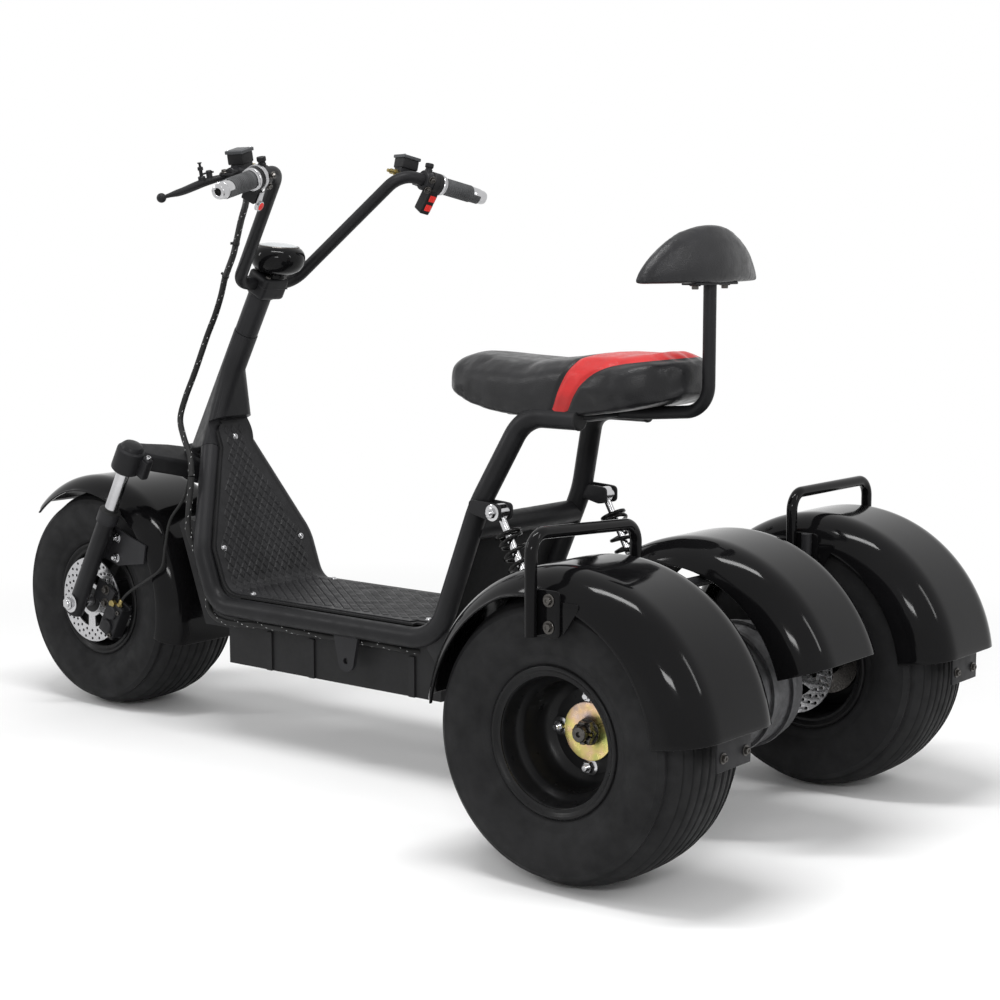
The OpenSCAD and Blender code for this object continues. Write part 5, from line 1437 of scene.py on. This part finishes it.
upper_flecks, lower_flecks = Mesh(), Mesh()
braid(Mesh(), lower_flecks, lower_path, 6).piece("loom_lower_braid", CABLE, "frame", "cable", ["loom_lower"])
lower_flecks.piece("loom_lower_tracer", TRACER, "frame", "cable")
# The upper half is tied to no body: it follows the bars at its top and the frame at its foot
for obj, node in ((braid(Mesh(), upper_flecks, upper_path, 6).made("loom_upper_braid", CABLE), "loom_upper"),
                  (upper_flecks.made("loom_upper_tracer", TRACER), None)):
    if node:
        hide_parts(node)
    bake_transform(obj)
hose_path = smooth_path([steer(*p) for p in HOSE], ROUTE_STEPS)
hose = Mesh().tube(hose_path, 3 * MM, 16).made("brake_hose_line", CABLE)
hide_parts("brake_hose")
tuple(hose_path[0])
tuple(hose_path[-1])
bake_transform(hose)
ties = Mesh()
for k, turn in ((26, 0.4), (46, 1.1)):
    band = axes(upper_path[k], (0, 1, 0), upper_path[k + 1] - upper_path[k - 1])
    ties.lathe(mm((5.6, -1.8), (6.9, -1.8), (6.9, 1.8), (5.6, 1.8)), band, 28, closed=True)
    ties.block((5, 4, 4.4), band @ Matrix.Rotation(turn, 4, "Z") @ shift(8, 0, 0), 0.8)
ties.piece("loom_ties", CABLE, "steering", "cable")

# Camera: the photograph's, found from the wheels and the frame
scene = bpy.context.scene
camera_data = bpy.data.cameras.new("camera")
camera_data.sensor_width, camera_data.lens = 36.0, 72.67
camera = bpy.data.objects.new("camera", camera_data)
scene.collection.objects.link(camera)
yaw, pitch = math.radians(-51.04), math.radians(-7.47)
look = Vector((math.cos(yaw) * math.cos(pitch), math.sin(yaw) * math.cos(pitch), math.sin(pitch)))
camera.location = at(-1786.8, 2792.4, 979.4)
camera.rotation_euler = look.to_track_quat("-Z", "Y").to_euler()
camera_data.clip_end = 60
scene.camera = camera

# Stage: a pale floor that keeps the shadow near the object and is plain white farther out
stage_mesh = bpy.data.meshes.new("floor")
FLOOR_HALF = 14.0
FADE_FROM, FADE_TO = 1.1, 2.3
corners = [(x * FLOOR_HALF, y * FLOOR_HALF, 0) for x, y in ((-1, -1), (1, -1), (1, 1), (-1, 1))]
stage_mesh.from_pydata(corners, [], [[0, 1, 2, 3]])
floor = bpy.data.objects.new("floor", stage_mesh)
scene.collection.objects.link(floor)
floor_look = Surface("floor", (0.9, 0.9, 0.9), 0.75, specular=0.1)
floor_look.paint(floor_look.mottle(2, 0.01))
floor_look.vary_rough(8, 0.05)
away = floor_look.node("ShaderNodeVectorMath", Vector=floor_look.place)
away.operation = "LENGTH"
fade = floor_look.ramp(away.outputs["Value"], 0.0, 1.0, FADE_FROM, FADE_TO)


def shown_rays(tree):
    """One for the rays that see the background: from the camera, or by way of metal or glass."""
    rays = tree.nodes.new("ShaderNodeLightPath").outputs
    seen = math_node(tree, "MAXIMUM", rays["Is Camera Ray"], rays["Is Glossy Ray"])
    return math_node(tree, "MAXIMUM", seen, rays["Is Transmission Ray"])


plain_white = math_node(floor_look.tree, "MULTIPLY", fade, shown_rays(floor_look.tree))
white = floor_look.node("ShaderNodeEmission", Color=(1, 1, 1, 1), Strength=1.0)
blend = floor_look.nodes.new("ShaderNodeMixShader")
for socket, source in zip(blend.inputs, (plain_white, floor_look.shader.outputs[0], white.outputs[0])):
    floor_look.link(source, socket)
floor_look.link(blend.outputs[0], floor_look.nodes["Material Output"].inputs["Surface"])
stage_mesh.materials.append(floor_look.material)

world = bpy.data.worlds.new("studio")
scene.world = world
world.use_nodes = True
sky = world.node_tree
background = sky.nodes["Background"]
background.inputs["Color"].default_value = (1, 1, 1, 1)
strength = sky.nodes.new("ShaderNodeMapRange")
strength.inputs["To Min"].default_value = 0.66
strength.inputs["To Max"].default_value = 1.0
sky.links.new(shown_rays(sky), strength.inputs["Value"])
sky.links.new(strength.outputs["Result"], background.inputs["Strength"])

# Lamps: place, target, size across and up, power in watts
LAMPS = {
    "overhead": ((-0.6, 0.8, 3.6), (0, 0, 0.4), 2.0, 0.42, 76),
    "left_bank": ((-2.6, 3.4, 1.9), (0, 0, 0.5), 1.0, 0.36, 34),
    "rear_strip": ((-3.4, -0.6, 2.2), (-0.5, 0, 0.4), 0.3, 1.2, 14),
    "front_strip": ((2.6, 2.6, 2.4), (0.5, 0, 0.5), 0.36, 1.2, 24),
}
for name, (spot, aim, wide, tall, power) in LAMPS.items():
    lamp = bpy.data.lights.new(name, "AREA")
    lamp.shape = "RECTANGLE"
    lamp.size, lamp.size_y, lamp.energy = wide, tall, power
    obj = bpy.data.objects.new(name, lamp)
    obj.location = spot
    obj.rotation_euler = (Vector(aim) - Vector(spot)).to_track_quat("-Z", "Y").to_euler()
    scene.collection.objects.link(obj)

scene.view_settings.view_transform = "Standard"
